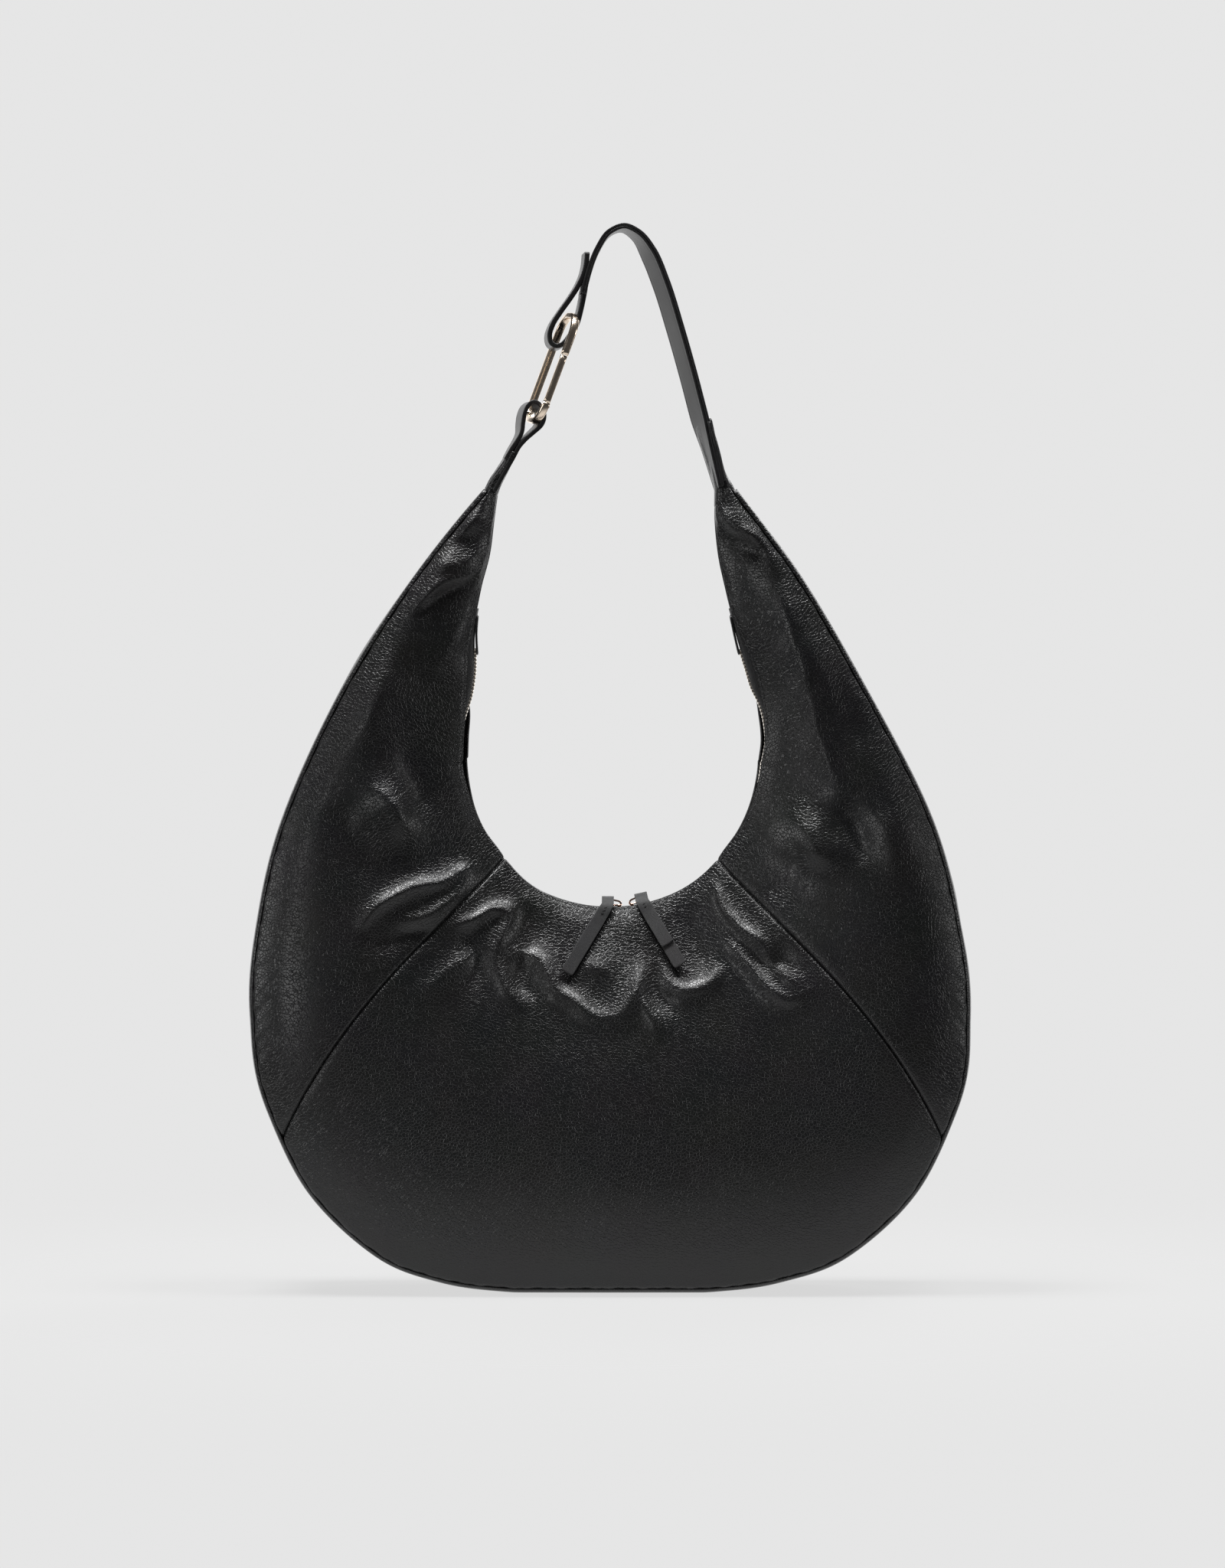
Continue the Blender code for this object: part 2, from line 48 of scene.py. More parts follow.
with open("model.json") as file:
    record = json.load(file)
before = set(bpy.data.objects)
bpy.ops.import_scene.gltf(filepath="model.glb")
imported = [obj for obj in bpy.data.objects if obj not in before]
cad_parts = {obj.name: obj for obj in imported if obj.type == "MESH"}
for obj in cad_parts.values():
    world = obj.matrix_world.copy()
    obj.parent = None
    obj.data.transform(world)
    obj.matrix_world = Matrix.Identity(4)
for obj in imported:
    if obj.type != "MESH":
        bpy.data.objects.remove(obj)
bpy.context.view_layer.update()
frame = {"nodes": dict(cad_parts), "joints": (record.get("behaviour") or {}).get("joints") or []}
JOINTS = {joint["name"]: joint for joint in frame["joints"]}
ZIP_CENTRE = Vector(JOINTS["left_slider_run"]["pos_m"])
TOOTH_HEIGHT = 2.6 * MM
ZIP_RADIUS = ZIP_CENTRE.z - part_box("front_tooth_row")[0].z - TOOTH_HEIGHT / 2

HORN_ANGLE = 139.9
SEAM_ANGLE = 47.0
ZIP_END = 116.0
LEATHER = 1.5 * MM
SEAM_INSET = 2.6 * MM
STITCH_INSET = 1.7 * MM
STITCH_END = 121.0
LINE_INSET = 2.2 * MM
LINE_HALF_WIDTH = 0.35 * MM

# Folds: how much the heights below are raised, how tightly a crest's points merge, the valleys' greatest
# depth in millimetres and the band beside the gusset seam where folds fade out.
FOLD_GAIN = 1.35
CREST_SHARPNESS = 6
VALLEY_DEPTH = 2.6
FOLD_FADE = 30 * MM
DENT_COUNT = 170
DENT_RISE = 0.55
DENT_SEEDS = {-1: 11, 1: 23}
# Depth and reach in millimetres of the places where the leather gives way.
SEAM_SINK = (1.3, 0.9)
SEAM_ROUND = (0.5, 3.0)
GUSSET_SINK = (1.3, 1.6)
GUSSET_PINCH = (0.35, 9.0)
ZIP_ROUND = (0.5, 1.0)
STITCH_CHANNEL = (0.30, 0.7)

# Angle, then x and z of the crescent's outer edge in millimetres.
OUTER_RIGHT = ((0, 0, 0), (14, 62, 0.2), (24, 106, 6.2), (33, 148, 22), (42, 192, 63), (50, 216, 112),
               (64, 224.6, 172), (80, 218.5, 231), (98, 198, 303), (112, 161, 375), (126, 119, 447),
               (136, 90.5, 486), (140, 79, 501))
OUTER_LEFT = ((0, 0, 0), (14, 62, 0.2), (24, 106, 6.2), (33, 146, 22), (42, 189, 63), (50, 213.5, 112),
              (64, 224.6, 172), (80, 220.5, 231), (98, 202, 303), (112, 168.5, 375), (126, 123, 447),
              (136, 92, 486), (140, 79, 501))
# Angle, then x and z in millimetres of the inner edge, where it leaves the zip's circle.
INNER_RIGHT = ((90, 93.4, 330.5), (98, 94.6, 345.0), (105, 92.4, 363.0), (112, 87.4, 385), (119, 79.4, 412),
               (126, 71.6, 440), (131, 67.2, 460), (136, 65.2, 483), (140, 65.8, 501))
INNER_LEFT = ((90, 92.4, 330.5), (98, 91.4, 345.0), (105, 89.4, 363.0), (112, 86.8, 385), (119, 86.0, 412),
              (126, 80.4, 440), (131, 75.2, 460), (136, 72.2, 483), (140, 69.5, 501))
# Angle, then how far the front and the back leather's edge reach past the zip's middle line, millimetres.
LIP_RIGHT = ((0, 1.4, 1.4), (20, 1.0, 1.0), (30, 0.8, 0.8), (38, 1.0, 1.0), (45, 1.5, 1.5), (52, 2.5, 2.5),
             (60, 2.0, 2.0), (70, 1.3, 1.6), (80, 0.2, 1.2), (88, -1.2, 0.6), (95, -1.8, 0.4),
             (100, -2.2, 0.2), (105, -3.2, 0.0), (110, -3.6, -1.4), (114, -3.0, -1.8), (118, -1.0, -0.6),
             (121, 0.2, 0.2), (126, 0.0, 0.0), (140, 0.0, 0.0))
LIP_LEFT = ((0, 1.4, 1.4), (20, 1.0, 1.0), (30, 0.7, 0.7), (38, 1.6, 1.6), (45, 2.8, 2.8), (52, 3.8, 3.8),
            (60, 3.2, 3.2), (70, 3.2, 3.4), (78, 2.6, 4.0), (85, 1.4, 4.0), (92, 0.5, 3.6), (98, 0.1, 3.0),
            (104, -0.6, 2.0), (108, -2.0, -0.4), (112, -2.6, -1.6), (115, -2.4, -1.6), (118, -0.6, -0.4),
            (121, 0.2, 0.2), (126, 0.0, 0.0), (140, 0.0, 0.0))
# Angle, then half the gusset's width, the panel's extra swell and half the gap at the zip, millimetres.
DEPTHS = ((0, 45, 14, 8), (45, 41, 12, 8), (80, 30, 9.5, 8), (98, 24, 8, 8), (118, 16, 6, 7),
          (130, 11.5, 4.5, 2.6), (140, 8.5, 1.5, 1.8))
# Angle, then how far the zip's chain hangs below its nominal line, millimetres.
SAG_LEFT = ((0, 1.2), (25, 1.2), (50, 1.2), (72, 1.2), (84, 1.4), (92, 1.8), (99, 2.2), (103, 1.7),
            (107, -0.8), (111, -1.5), (122, -1.2))
SAG_RIGHT = ((0, 1.2), (25, 1.2), (50, 1.2), (72, 1.2), (84, 1.8), (92, 2.8), (101, 3.4), (106, 2.0),
             (109, -0.8), (113, -1.5), (122, -1.2))

# Creases and puffs: height and width in millimetres, then x and z along the crest.
FRONT_FOLDS = (
    # left horn
    (1.9, 6.5, ((-117, 452), (-104, 453), (-92, 454), (-80, 460))),
    (2.3, 5.0, ((-122, 424), (-114, 434), (-104, 442), (-92, 446), (-81, 453))),
    (-2.2, 5.0, ((-118, 419), (-106, 431), (-95, 437), (-82, 443))),
    (1.4, 4.0, ((-97, 433), (-88, 438), (-79, 444))),
    (-1.6, 6.0, ((-106, 470), (-92, 468), (-79, 474))),
    (1.6, 5.0, ((-100, 482), (-88, 480), (-77, 486))),
    (2.0, 9.0, ((-97, 418), (-101, 402), (-108, 388))),
    # left wing
    (3.0, 15.0, ((-140, 392), (-146, 365), (-150, 345))),
    (6.4, 15.0, ((-143, 310), (-137, 299), (-130, 288))),
    (-3.0, 12.0, ((-128, 345), (-121, 322), (-112, 300))),
    (-2.4, 11.0, ((-168, 300), (-160, 280), (-146, 264))),
    (3.6, 5.5, ((-158, 224), (-145, 236), (-131, 246), (-106, 254), (-84, 264))),
    (2.6, 5.0, ((-132, 228), (-112, 236), (-98, 246), (-86, 260))),
    (-2.0, 6.0, ((-150, 216), (-130, 220), (-110, 228))),
    # below the zip
    (3.2, 5.0, ((-103, 228), (-86, 231), (-72, 237), (-63, 233), (-66, 220), (-73, 206))),
    (2.6, 7.0, ((-73, 206), (-67, 192), (-56, 179))),
    (2.0, 8.0, ((-120, 180), (-108, 190), (-90, 206), (-78, 216))),
    (-2.6, 7.0, ((-92, 222), (-84, 204), (-86, 190))),
    (3.2, 5.5, ((-64, 206), (-54, 210), (-44, 209), (-38, 198), (-33, 187), (-22, 178), (-8, 171), (4, 173))),
    (2.8, 5.5, ((2, 171), (11, 180), (17, 190), (22, 201))),
    (-2.6, 8.0, ((-52, 238), (-50, 224), (-54, 196), (-48, 182))),
    (1.8, 8.0, ((-16, 201), (-10, 198), (-4, 197))),
    (2.4, 6.5, ((19, 184), (25, 172), (30, 160))),
    (-2.2, 7.0, ((28, 204), (32, 190), (38, 176))),
    (2.8, 5.5, ((33, 202), (39, 191), (47, 186), (58, 189), (69, 199))),
    (-2.0, 7.0, ((50, 232), (52, 218), (56, 204))),
    (3.2, 4.5, ((67, 252), (74, 238), (82, 227), (93, 217), (98, 208))),
    (3.0, 5.5, ((72, 222), (80, 211), (92, 197), (103, 187), (114, 184), (124, 189))),
    (2.0, 5.0, ((96, 212), (106, 199), (119, 191))),
    (-2.2, 7.0, ((88, 208), (100, 202), (112, 206))),
    # right wing
    (3.4, 5.0, ((67, 503), (70, 487), (78, 478), (90, 471), (100, 461), (103, 447))),
    (-3.0, 6.0, ((72, 474), (82, 466), (93, 458))),
    (2.6, 9.0, ((103, 440), (109, 424), (117, 400), (125, 376))),
    (3.0, 12.0, ((122, 388), (130, 356), (137, 330), (143, 310))),
    (-2.6, 10.0, ((142, 392), (150, 362), (156, 338))),
    (2.0, 5.0, ((144, 398), (154, 380), (163, 362))),
    (6.0, 14.0, ((120, 292), (127, 280), (136, 268))),
    (-3.6, 10.0, ((148, 300), (152, 284), (158, 268))),
    (2.2, 14.0, ((172, 300), (176, 280), (178, 262))),
    (-2.2, 10.0, ((112, 268), (106, 256), (96, 250))),
)
BACK_FOLDS = (
    (2.6, 6.0, ((-114, 446), (-100, 452), (-84, 462))),
    (-2.2, 6.0, ((-112, 432), (-98, 438), (-84, 446))),
    (3.4, 14.0, ((-140, 360), (-136, 330), (-128, 300))),
    (-2.8, 11.0, ((-118, 352), (-116, 326), (-108, 304))),
    (2.8, 7.0, ((-150, 236), (-128, 250), (-100, 262))),
    (-2.2, 7.0, ((-140, 222), (-118, 234), (-96, 244))),
    (3.0, 8.0, ((-72, 234), (-66, 214), (-58, 196))),
    (-2.6, 8.0, ((-52, 232), (-46, 212), (-42, 194))),
    (3.0, 9.0, ((-30, 214), (-20, 198), (-8, 190))),
    (-2.4, 8.0, ((-4, 228), (2, 208), (12, 192))),
    (2.8, 9.0, ((26, 224), (32, 206), (42, 192))),
    (-2.2, 8.0, ((52, 236), (60, 218), (72, 200))),
    (3.0, 7.0, ((72, 244), (88, 226), (108, 208))),
    (3.0, 12.0, ((124, 300), (134, 276), (140, 256))),
    (-3.0, 10.0, ((146, 304), (152, 282), (156, 262))),
    (2.8, 8.0, ((104, 436), (112, 412), (122, 386))),
    (3.0, 5.0, ((70, 498), (78, 480), (92, 468), (102, 452))),
    (-2.4, 6.0, ((74, 470), (88, 456), (96, 442))),
)


# ---------------------------------------------------------------- geometry helpers

class Smooth:
    """Cubic through rows of (position, values...), read at an array of positions."""

    def __init__(self, rows):
        table = np.array(rows, float)
        self.at, self.values = table[:, 0], table[:, 1:]
        self.slopes = np.gradient(self.values, self.at, axis=0)

    def __call__(self, at):
        at = np.asarray(at, float)
        index = np.clip(np.searchsorted(self.at, at, side="right") - 1, 0, len(self.at) - 2)
        span = (self.at[index + 1] - self.at[index])[..., None]
        t = (at - self.at[index])[..., None] / span
        t = np.clip(t, 0.0, 1.0)
        blend = 3 * t**2 - 2 * t**3
        rise = (1 - blend) * self.values[index] + blend * self.values[index + 1]
        bend = (t**3 - 2 * t**2 + t) * self.slopes[index] + (t**3 - t**2) * self.slopes[index + 1]
        return rise + span * bend


OUTER = {-1: Smooth(OUTER_LEFT), 1: Smooth(OUTER_RIGHT)}
INNER = {-1: Smooth(INNER_LEFT), 1: Smooth(INNER_RIGHT)}
LIP = {-1: Smooth(LIP_LEFT), 1: Smooth(LIP_RIGHT)}
SAG = {-1: Smooth(SAG_LEFT), 1: Smooth(SAG_RIGHT)}
DEPTH = Smooth(DEPTHS)


def unit(vectors):
    return vectors / np.maximum(np.linalg.norm(vectors, axis=-1, keepdims=True), 1e-12)


def outer_edge(angle):
    """x and z of the outline, in metres."""
    size = np.abs(angle)
    right = OUTER[1](size)
    left = OUTER[-1](size) * (-1, 1)
    edge = np.where(np.asarray(angle)[..., None] < 0, left, right) * MM
    edge[..., 1] = np.maximum(edge[..., 1], 0.0)
    return edge


def inner_edge(angle):
    """x and z of the zip's middle line, in metres."""
    angle = np.asarray(angle, float)
    size = np.abs(angle)
    turn = np.radians(angle)
    circle = np.stack((ZIP_RADIUS * np.sin(turn), ZIP_CENTRE.z - ZIP_RADIUS * np.cos(turn)), axis=-1)
    right = INNER[1](np.maximum(size, 90)) * MM
    left = INNER[-1](np.maximum(size, 90)) * (-MM, MM)
    beyond = np.where(angle[..., None] < 0, left, right)
    return np.where(size[..., None] <= 90, circle, beyond)


def leather_edge(angle, side):
    """x and z of the panels' edge at the zip: past its middle line, or short of it where teeth show."""
    size = np.abs(angle)
    column = 0 if side < 0 else 1
    left, right = LIP[-1](size)[..., column], LIP[1](size)[..., column]
    lip = np.where(np.asarray(angle) < 0, left, right) * MM
    inner = inner_edge(angle)
    return inner + unit(inner - outer_edge(angle)) * lip[..., None]


def square_inward(angle):
    """Direction into the bag in the XZ plane, square to the outline."""
    along = unit(outer_edge(angle + 0.6) - outer_edge(angle - 0.6))
    inward = inner_edge(angle) - outer_edge(angle)
    return unit(inward - along * np.sum(inward * along, axis=-1, keepdims=True))


def seam_bow(angle, share):
    """The diagonal seams aren't straight: they bow towards the horns half way up."""
    near = np.exp(-((np.abs(angle) - SEAM_ANGLE) / 14.0) ** 2)
    return angle + np.sign(angle) * 2.6 * near * np.sin(math.pi * share)


def leather_surface(angle, share, side):
    """Smooth outer face of the leather, before creases. Arrays broadcast; returns (..., 3)."""
    angle, share = np.broadcast_arrays(np.asarray(angle, float), np.asarray(share, float))
    angle = seam_bow(angle, share)
    outer, inner = outer_edge(angle), leather_edge(angle, side)
    inward = unit(inner - outer)
    inset = SEAM_INSET / np.sum(inward * square_inward(angle), axis=-1, keepdims=True)
    start = outer + inward * inset
    gusset, swell, gap = np.moveaxis(DEPTH(np.abs(angle)) * MM, -1, 0)
    depth = gusset + (gap - gusset) * share**2.2 + swell * np.sin(math.pi * share**0.7)
    flat = start + (inner - start) * share[..., None]
    return np.stack((flat[..., 0], side * depth, flat[..., 1]), axis=-1)


def leather_normal(angle, share, side):
    low = np.clip(share - 0.008, 0.0, 0.984)
    along = leather_surface(angle + 0.4, share, side) - leather_surface(angle - 0.4, share, side)
    across = leather_surface(angle, low + 0.016, side) - leather_surface(angle, low, side)
    normal = unit(np.cross(along, across))
    return normal * np.where(normal[..., 1:2] * side < 0, -1.0, 1.0)


def crest(x, z, width, line):
    """Rounded crest of height 1 along a smooth curve through (x, z) points, fading at both ends."""
    samples = even_line(line, 0.22 * width)
    blunt = 0.25 * width
    total = np.zeros(x.shape)
    for (centre_x, centre_z), place in zip(samples, np.linspace(-1.0, 1.0, len(samples))):
        distance = np.hypot(np.hypot(x - centre_x, z - centre_z), blunt) - blunt
        total += (np.exp(-distance / (0.80 * width)) * (1.0 - 0.85 * abs(place) ** 3)) ** CREST_SHARPNESS
    return total ** (1.0 / CREST_SHARPNESS)


def dents(x, z, side):
    """Soft dents and swellings all over one side, in millimetres."""
    height = np.zeros(x.shape)
    chance = np.random.default_rng(DENT_SEEDS[side])
    for _ in range(DENT_COUNT):
        turn, out = chance.uniform(-135, 135), chance.uniform(0.25, 0.98)
        centre = leather_surface(np.array(turn), np.array(out), side) / MM
        stretch, lean = chance.uniform(1.0, 2.2), chance.uniform(0, math.pi)
        size, rise = chance.uniform(9, 22), chance.uniform(-DENT_RISE, DENT_RISE)
        u = (x - centre[0]) * math.cos(lean) + (z - centre[2]) * math.sin(lean)
        v = (z - centre[2]) * math.cos(lean) - (x - centre[0]) * math.sin(lean)
        height += rise * np.exp(-(u / size / stretch) ** 2 - (v / size) ** 2)
    return height


def crease_height(points, side):
    """Height of creases, puffs and soft unevenness at each point, in metres."""
    x, z = points[..., 0] / MM, points[..., 2] / MM
    # a crest wanders about 2 mm off its drawn line
    drift = 1.6 * np.sin(x * 0.09 + z * 0.06) + 0.5 * np.sin(x * 0.21 - z * 0.17 + 2.0)
    across = 1.6 * np.sin(z * 0.08 - x * 0.07 + 1.0) + 0.5 * np.sin(z * 0.19 + x * 0.15)
    height = dents(x, z, side)
    for rise, width, line in (FRONT_FOLDS if side < 0 else BACK_FOLDS):
        height += FOLD_GAIN * rise * crest(x + drift, z + across, width, line)
    # valleys stop short of the lining
    height = np.where(height < 0, VALLEY_DEPTH * np.tanh(height / VALLEY_DEPTH), height)
    return (height + 0.5 * VALLEY_DEPTH) * MM


def smoothstep(value, low, high):
    t = np.clip((value - low) / (high - low), 0.0, 1.0)
    return t * t * (3 - 2 * t)


def link(name, mesh, material):
    piece = bpy.data.objects.new(name, mesh)
    bpy.context.scene.collection.objects.link(piece)
    mesh.materials.append(material)
    return piece


def settle(piece, node, body=None):
    """The piece stands for a CAD node. It rides on a body, or stays fixed in place with its placement applied
    to its mesh.
    """
    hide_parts(node)
    if body:
        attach(piece, body)
    else:
        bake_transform(piece)


def grid_piece(name, points, material, around=False, caps=False):
    """Mesh through an array of points of shape (rows, columns, 3). around closes each row into a ring."""
    columns = points.shape[1]
    surface = bmesh.new()
    verts = [[surface.verts.new(point) for point in row] for row in points.tolist()]
    for near, far in zip(verts, verts[1:]):
        for i in range(columns if around else columns - 1):
            j = (i + 1) % columns
            surface.faces.new((near[i], near[j], far[j], far[i]))
    if caps:
        surface.faces.new(verts[0][::-1])
        surface.faces.new(verts[-1])
    bmesh.ops.recalc_face_normals(surface, faces=surface.faces)
    mesh = bpy.data.meshes.new(name)
    surface.to_mesh(mesh)
    surface.free()
    mesh.shade_smooth()
    return link(name, mesh, material)


def subdivide(piece):
    modifier = piece.modifiers.new("smooth", "SUBSURF")
    modifier.levels = 1
    modifier.render_levels = 1


def solidify(piece, thickness, offset=-1.0):
    modifier = piece.modifiers.new("thickness", "SOLIDIFY")
    modifier.thickness = thickness
    modifier.offset = offset


def lengths_along(points):
    """Distance along a line from its first point to each point."""
    return np.concatenate(([0.0], np.cumsum(np.linalg.norm(np.diff(points, axis=0), axis=1))))


def even_line(points, spacing):
    """Points at an even spacing along a smooth curve through the given points."""
    points = np.array(points, float)
    at = lengths_along(points)
    count = max(2, int(round(at[-1] / spacing)) + 1)
    return Smooth(np.column_stack((at, points)))(np.linspace(0.0, at[-1], count))


def loft(name, path, across, half_width, half_thickness, material, corner=0.45, crease=0.0):
    """Strip or bar along a path, with rounded edges.

    half_width and half_thickness may be arrays along the path. corner is the share of the half
    thickness that is rounded. crease presses a line near both edges of the broad faces.
    """
    tangent = unit(np.gradient(path, axis=0))
    across = np.broadcast_to(across, path.shape)
    across = unit(across - tangent * np.sum(across * tangent, axis=1, keepdims=True))
    normal = np.cross(tangent, across)
    half_width = np.broadcast_to(half_width, len(path))[:, None]
    half_thickness = np.broadcast_to(half_thickness, len(path))[:, None]
    radius = float(np.min(half_thickness)) * corner
    inset = min(LINE_INSET, float(np.max(half_width)) * 0.3)
    # a quarter of the section: shares of the half width and half thickness, each with an offset
    quarter = [(1.0, radius * (math.cos(a) - 1.0), 1.0, radius * (math.sin(a) - 1.0))
               for a in np.radians(np.linspace(0, 90, 4))]
    quarter.append((1.0, -inset + LINE_HALF_WIDTH, 1.0, 0.0))
    quarter.append((1.0, -inset, 1.0, -crease))
    quarter.append((1.0, -inset - LINE_HALF_WIDTH, 1.0, 0.0))
    quarter.append((0.35, 0.0, 1.0, 0.0))
    half = quarter + [(-a, -b, c, d) for a, b, c, d in reversed(quarter)]
    a, b, c, d = np.array(half + [(-a, -b, -c, -d) for a, b, c, d in half]).T
    sideways, upward = (a * half_width + b)[..., None], (c * half_thickness + d)[..., None]
    points = path[:, None] + across[:, None] * sideways + normal[:, None] * upward
    return grid_piece(name, points, material, around=True, caps=True)


def tube_faces(rings, sides):
    """Faces between rings whose points are listed ring by ring, and over both ends."""
    last = (rings - 1) * sides
    faces = [tuple(range(sides))[::-1], tuple(range(last, last + sides))]
    for start in range(0, last, sides):
        for i in range(sides):
            j = (i + 1) % sides
            faces.append((start + i, start + j, start + sides + j, start + sides + i))
    return faces


def join_pieces(name, material, meshes_points):
    """One mesh from a list of (vertices, faces)."""
    vertices, faces = [], []
    for points, polygons in meshes_points:
        start = len(vertices)
        vertices.extend(points)
        faces.extend([tuple(start + i for i in polygon) for polygon in polygons])
    mesh = bpy.data.meshes.new(name)
    mesh.from_pydata([tuple(v) for v in vertices], [], faces)
    mesh.shade_smooth()
    return link(name, mesh, material)


def thread_stitches(name, line, normal):
    """Stitches along a line: short threads that dip into the leather at both ends."""
    at = lengths_along(line)
    sides = 6
    turns = np.linspace(0, 2 * math.pi, sides, endpoint=False)
    parts = []

    def read(rows, here):
        return np.array([np.interp(here, at, rows[:, k]) for k in range(3)])

    start = THREAD_PITCH * 0.5
    while start + THREAD_LENGTH < at[-1]:
        points = []
        for t in np.linspace(0.0, 1.0, 5):
            here = start + THREAD_LENGTH * t
            out = unit(read(normal, here))
            along = unit(read(line, here + 1e-4) - read(line, here - 1e-4))
            side = np.cross(along, out)
            arch = math.sin(math.pi * t)
            thick = THREAD_RADIUS * (0.55 + 0.45 * arch)
            centre = read(line, here) + out * THREAD_RADIUS * (arch * 0.9 - 0.35)
            points.extend(centre + (side * math.cos(a) + out * math.sin(a)) * thick for a in turns)
        parts.append((points, tube_faces(5, sides)))
        start += THREAD_PITCH
    return join_pieces(name, THREAD, parts)


# ---------------------------------------------------------------- materials

GLOSS_SPREAD = 0.35


def feed(node, inputs):
    """Gives each input its value, or links it to the output that drives it."""
    for socket, value in inputs.items():
        if isinstance(value, bpy.types.NodeSocket):
            node.id_data.links.new(value, node.inputs[socket])
        else:
            node.inputs[socket].default_value = value


def add_node(tree, kind, output, inputs, **settings):
    """Adds a shader node and returns one of its outputs."""
    node = tree.nodes.new("ShaderNode" + kind)
    for key, value in settings.items():
        setattr(node, key, value)
    feed(node, inputs)
    return node.outputs[output]


def base_material(name, colour, roughness, metallic=0.0):
    material = bpy.data.materials.new(name)
    material.use_nodes = True
    shader = material.node_tree.nodes["Principled BSDF"]
    feed(shader, {"Base Color": (*colour, 1.0), "Roughness": roughness, "Metallic": metallic})
    return material, shader


def number_range(tree, value, low, high):
    return add_node(tree, "MapRange", "Result", {"Value": value, "To Min": low, "To Max": high})


def colour_range(tree, vector, colour, darkest, lightest):
    """Runs between two shades of a colour. The node's vector sockets are found by number."""
    dark, light = [c * darkest for c in colour], [c * lightest for c in colour]
    return add_node(tree, "MapRange", 1, {6: vector, 9: dark, 10: light}, data_type="FLOAT_VECTOR")


def leather_material(name, colour, roughness, grain, grain_depth, cell_depth, sheen=0.0):
    """Leather with a fine grain, pores and slow changes of gloss. grain is its size in metres."""
    material, shader = base_material(name, colour, roughness)
    tree = material.node_tree
    place = add_node(tree, "TexCoord", "Object", {})
    # cells with soft borders, bent a little by a slow noise
    warp = add_node(tree, "TexNoise", "Color", {"Vector": place, "Scale": 0.35 / grain})
    warped = add_node(tree, "Mix", 1, {"Factor": 0.0012, 4: place, 5: warp}, data_type="VECTOR")
    cells = add_node(tree, "TexVoronoi", "Distance", {"Vector": warped, "Scale": 1.0 / grain},
                     feature="DISTANCE_TO_EDGE")
    level = add_node(tree, "MapRange", "Result", {"Value": cells, "From Max": 0.13})
    cell_bump = add_node(tree, "Bump", "Normal", {"Height": level, "Distance": cell_depth})
    fine = add_node(tree, "TexNoise", "Fac", {"Vector": place, "Scale": 1.6 / grain, "Detail": 4.0})
    bump = add_node(tree, "Bump", "Normal", {"Height": fine, "Distance": grain_depth, "Normal": cell_bump})
    slow = {"Vector": place, "Scale": 28.0, "Detail": 5.0}
    dullest, glossiest = roughness * (1.0 + 0.5 * GLOSS_SPREAD), roughness * (1.0 - 0.5 * GLOSS_SPREAD)
    gloss = number_range(tree, add_node(tree, "TexNoise", "Fac", slow), glossiest, dullest)
    tint = colour_range(tree, add_node(tree, "TexNoise", "Color", slow), colour, 0.75, 1.3)
    feed(shader, {"Sheen Weight": sheen, "Normal": bump, "Roughness": gloss, "Base Color": tint})
    return material


def metal_material(name, colour, roughness):
    """Polished metal, its gloss uneven from handling."""
    material, shader = base_material(name, colour, roughness, 1.0)
    tree = material.node_tree
    place = add_node(tree, "TexCoord", "Object", {})
    marks = add_node(tree, "TexNoise", "Fac", {"Vector": place, "Scale": 160.0, "Detail": 3.0})
    feed(shader, {"Roughness": number_range(tree, marks, roughness * 0.6, roughness * 1.6)})
    return material


def woven_material(name, colour, thread, roughness=0.85):
    """Plain weave, one thread wide at the given size. Its colour follows the weave's height: painted shade in
    the hollows between threads, painted highlight on their crowns.
    """
    material, shader = base_material(name, colour, roughness)
    tree = material.node_tree
    wave = {"Vector": add_node(tree, "TexCoord", "Object", {}), "Scale": 0.314 / thread, "Distortion": 0.6}
    upright, level = [add_node(tree, "TexWave", "Fac", wave, bands_direction=axis) for axis in ("X", "Z")]
    weave = add_node(tree, "Math", "Value", {0: upright, 1: level}, operation="MULTIPLY")
    bump = add_node(tree, "Bump", "Normal", {"Height": weave, "Strength": 0.8, "Distance": thread * 0.3})
    # darker in the weave's hollows and lighter on its crowns: painted shade and painted highlight
    feed(shader, {"Sheen Weight": 0.2, "Normal": bump,
                  "Base Color": colour_range(tree, weave, colour, 0.6, 1.3)})
    return material


PEBBLED = leather_material("black_grained_leather", (0.0060, 0.0060, 0.0064), 0.31, 1.9 * MM,
                           0.055 * MM, 0.090 * MM)
SMOOTH_LEATHER = leather_material("black_strap_leather", (0.0090, 0.0090, 0.0095), 0.40, 1.2 * MM,
                                  0.020 * MM, 0.010 * MM)
NUBUCK = leather_material("pull_leather_matte", (0.012, 0.012, 0.0125), 0.60, 0.5 * MM, 0.04 * MM, 0.02 * MM,
                          sheen=0.05)
THREAD = woven_material("black_thread", (0.040, 0.040, 0.042), 0.25 * MM, 0.45)
# stitch holes: a near-black colour, painted shade for the inside of each hole
HOLE_SHADE = leather_material("stitch_hole_painted_shade", (0.002, 0.002, 0.002), 0.8, 0.5 * MM, 0.0, 0.0)
TAPE_CLOTH = woven_material("zip_tape_cloth", (0.010, 0.010, 0.011), 0.5 * MM)
LINING_CLOTH = woven_material("lining_cloth", (0.030, 0.028, 0.027), 0.6 * MM)
BOARD = leather_material("board", (0.10, 0.09, 0.08), 0.8, 1.5 * MM, 0.05 * MM, 0.0)
GOLD = metal_material("pale_gold_polished", (0.88, 0.74, 0.60), 0.20)
TOOTH_METAL = metal_material("zip_teeth_metal", (0.90, 0.84, 0.76), 0.20)
ROSE_GOLD = metal_material("slider_rose_gold", (0.84, 0.56, 0.44), 0.15)


# ---------------------------------------------------------------- leather body

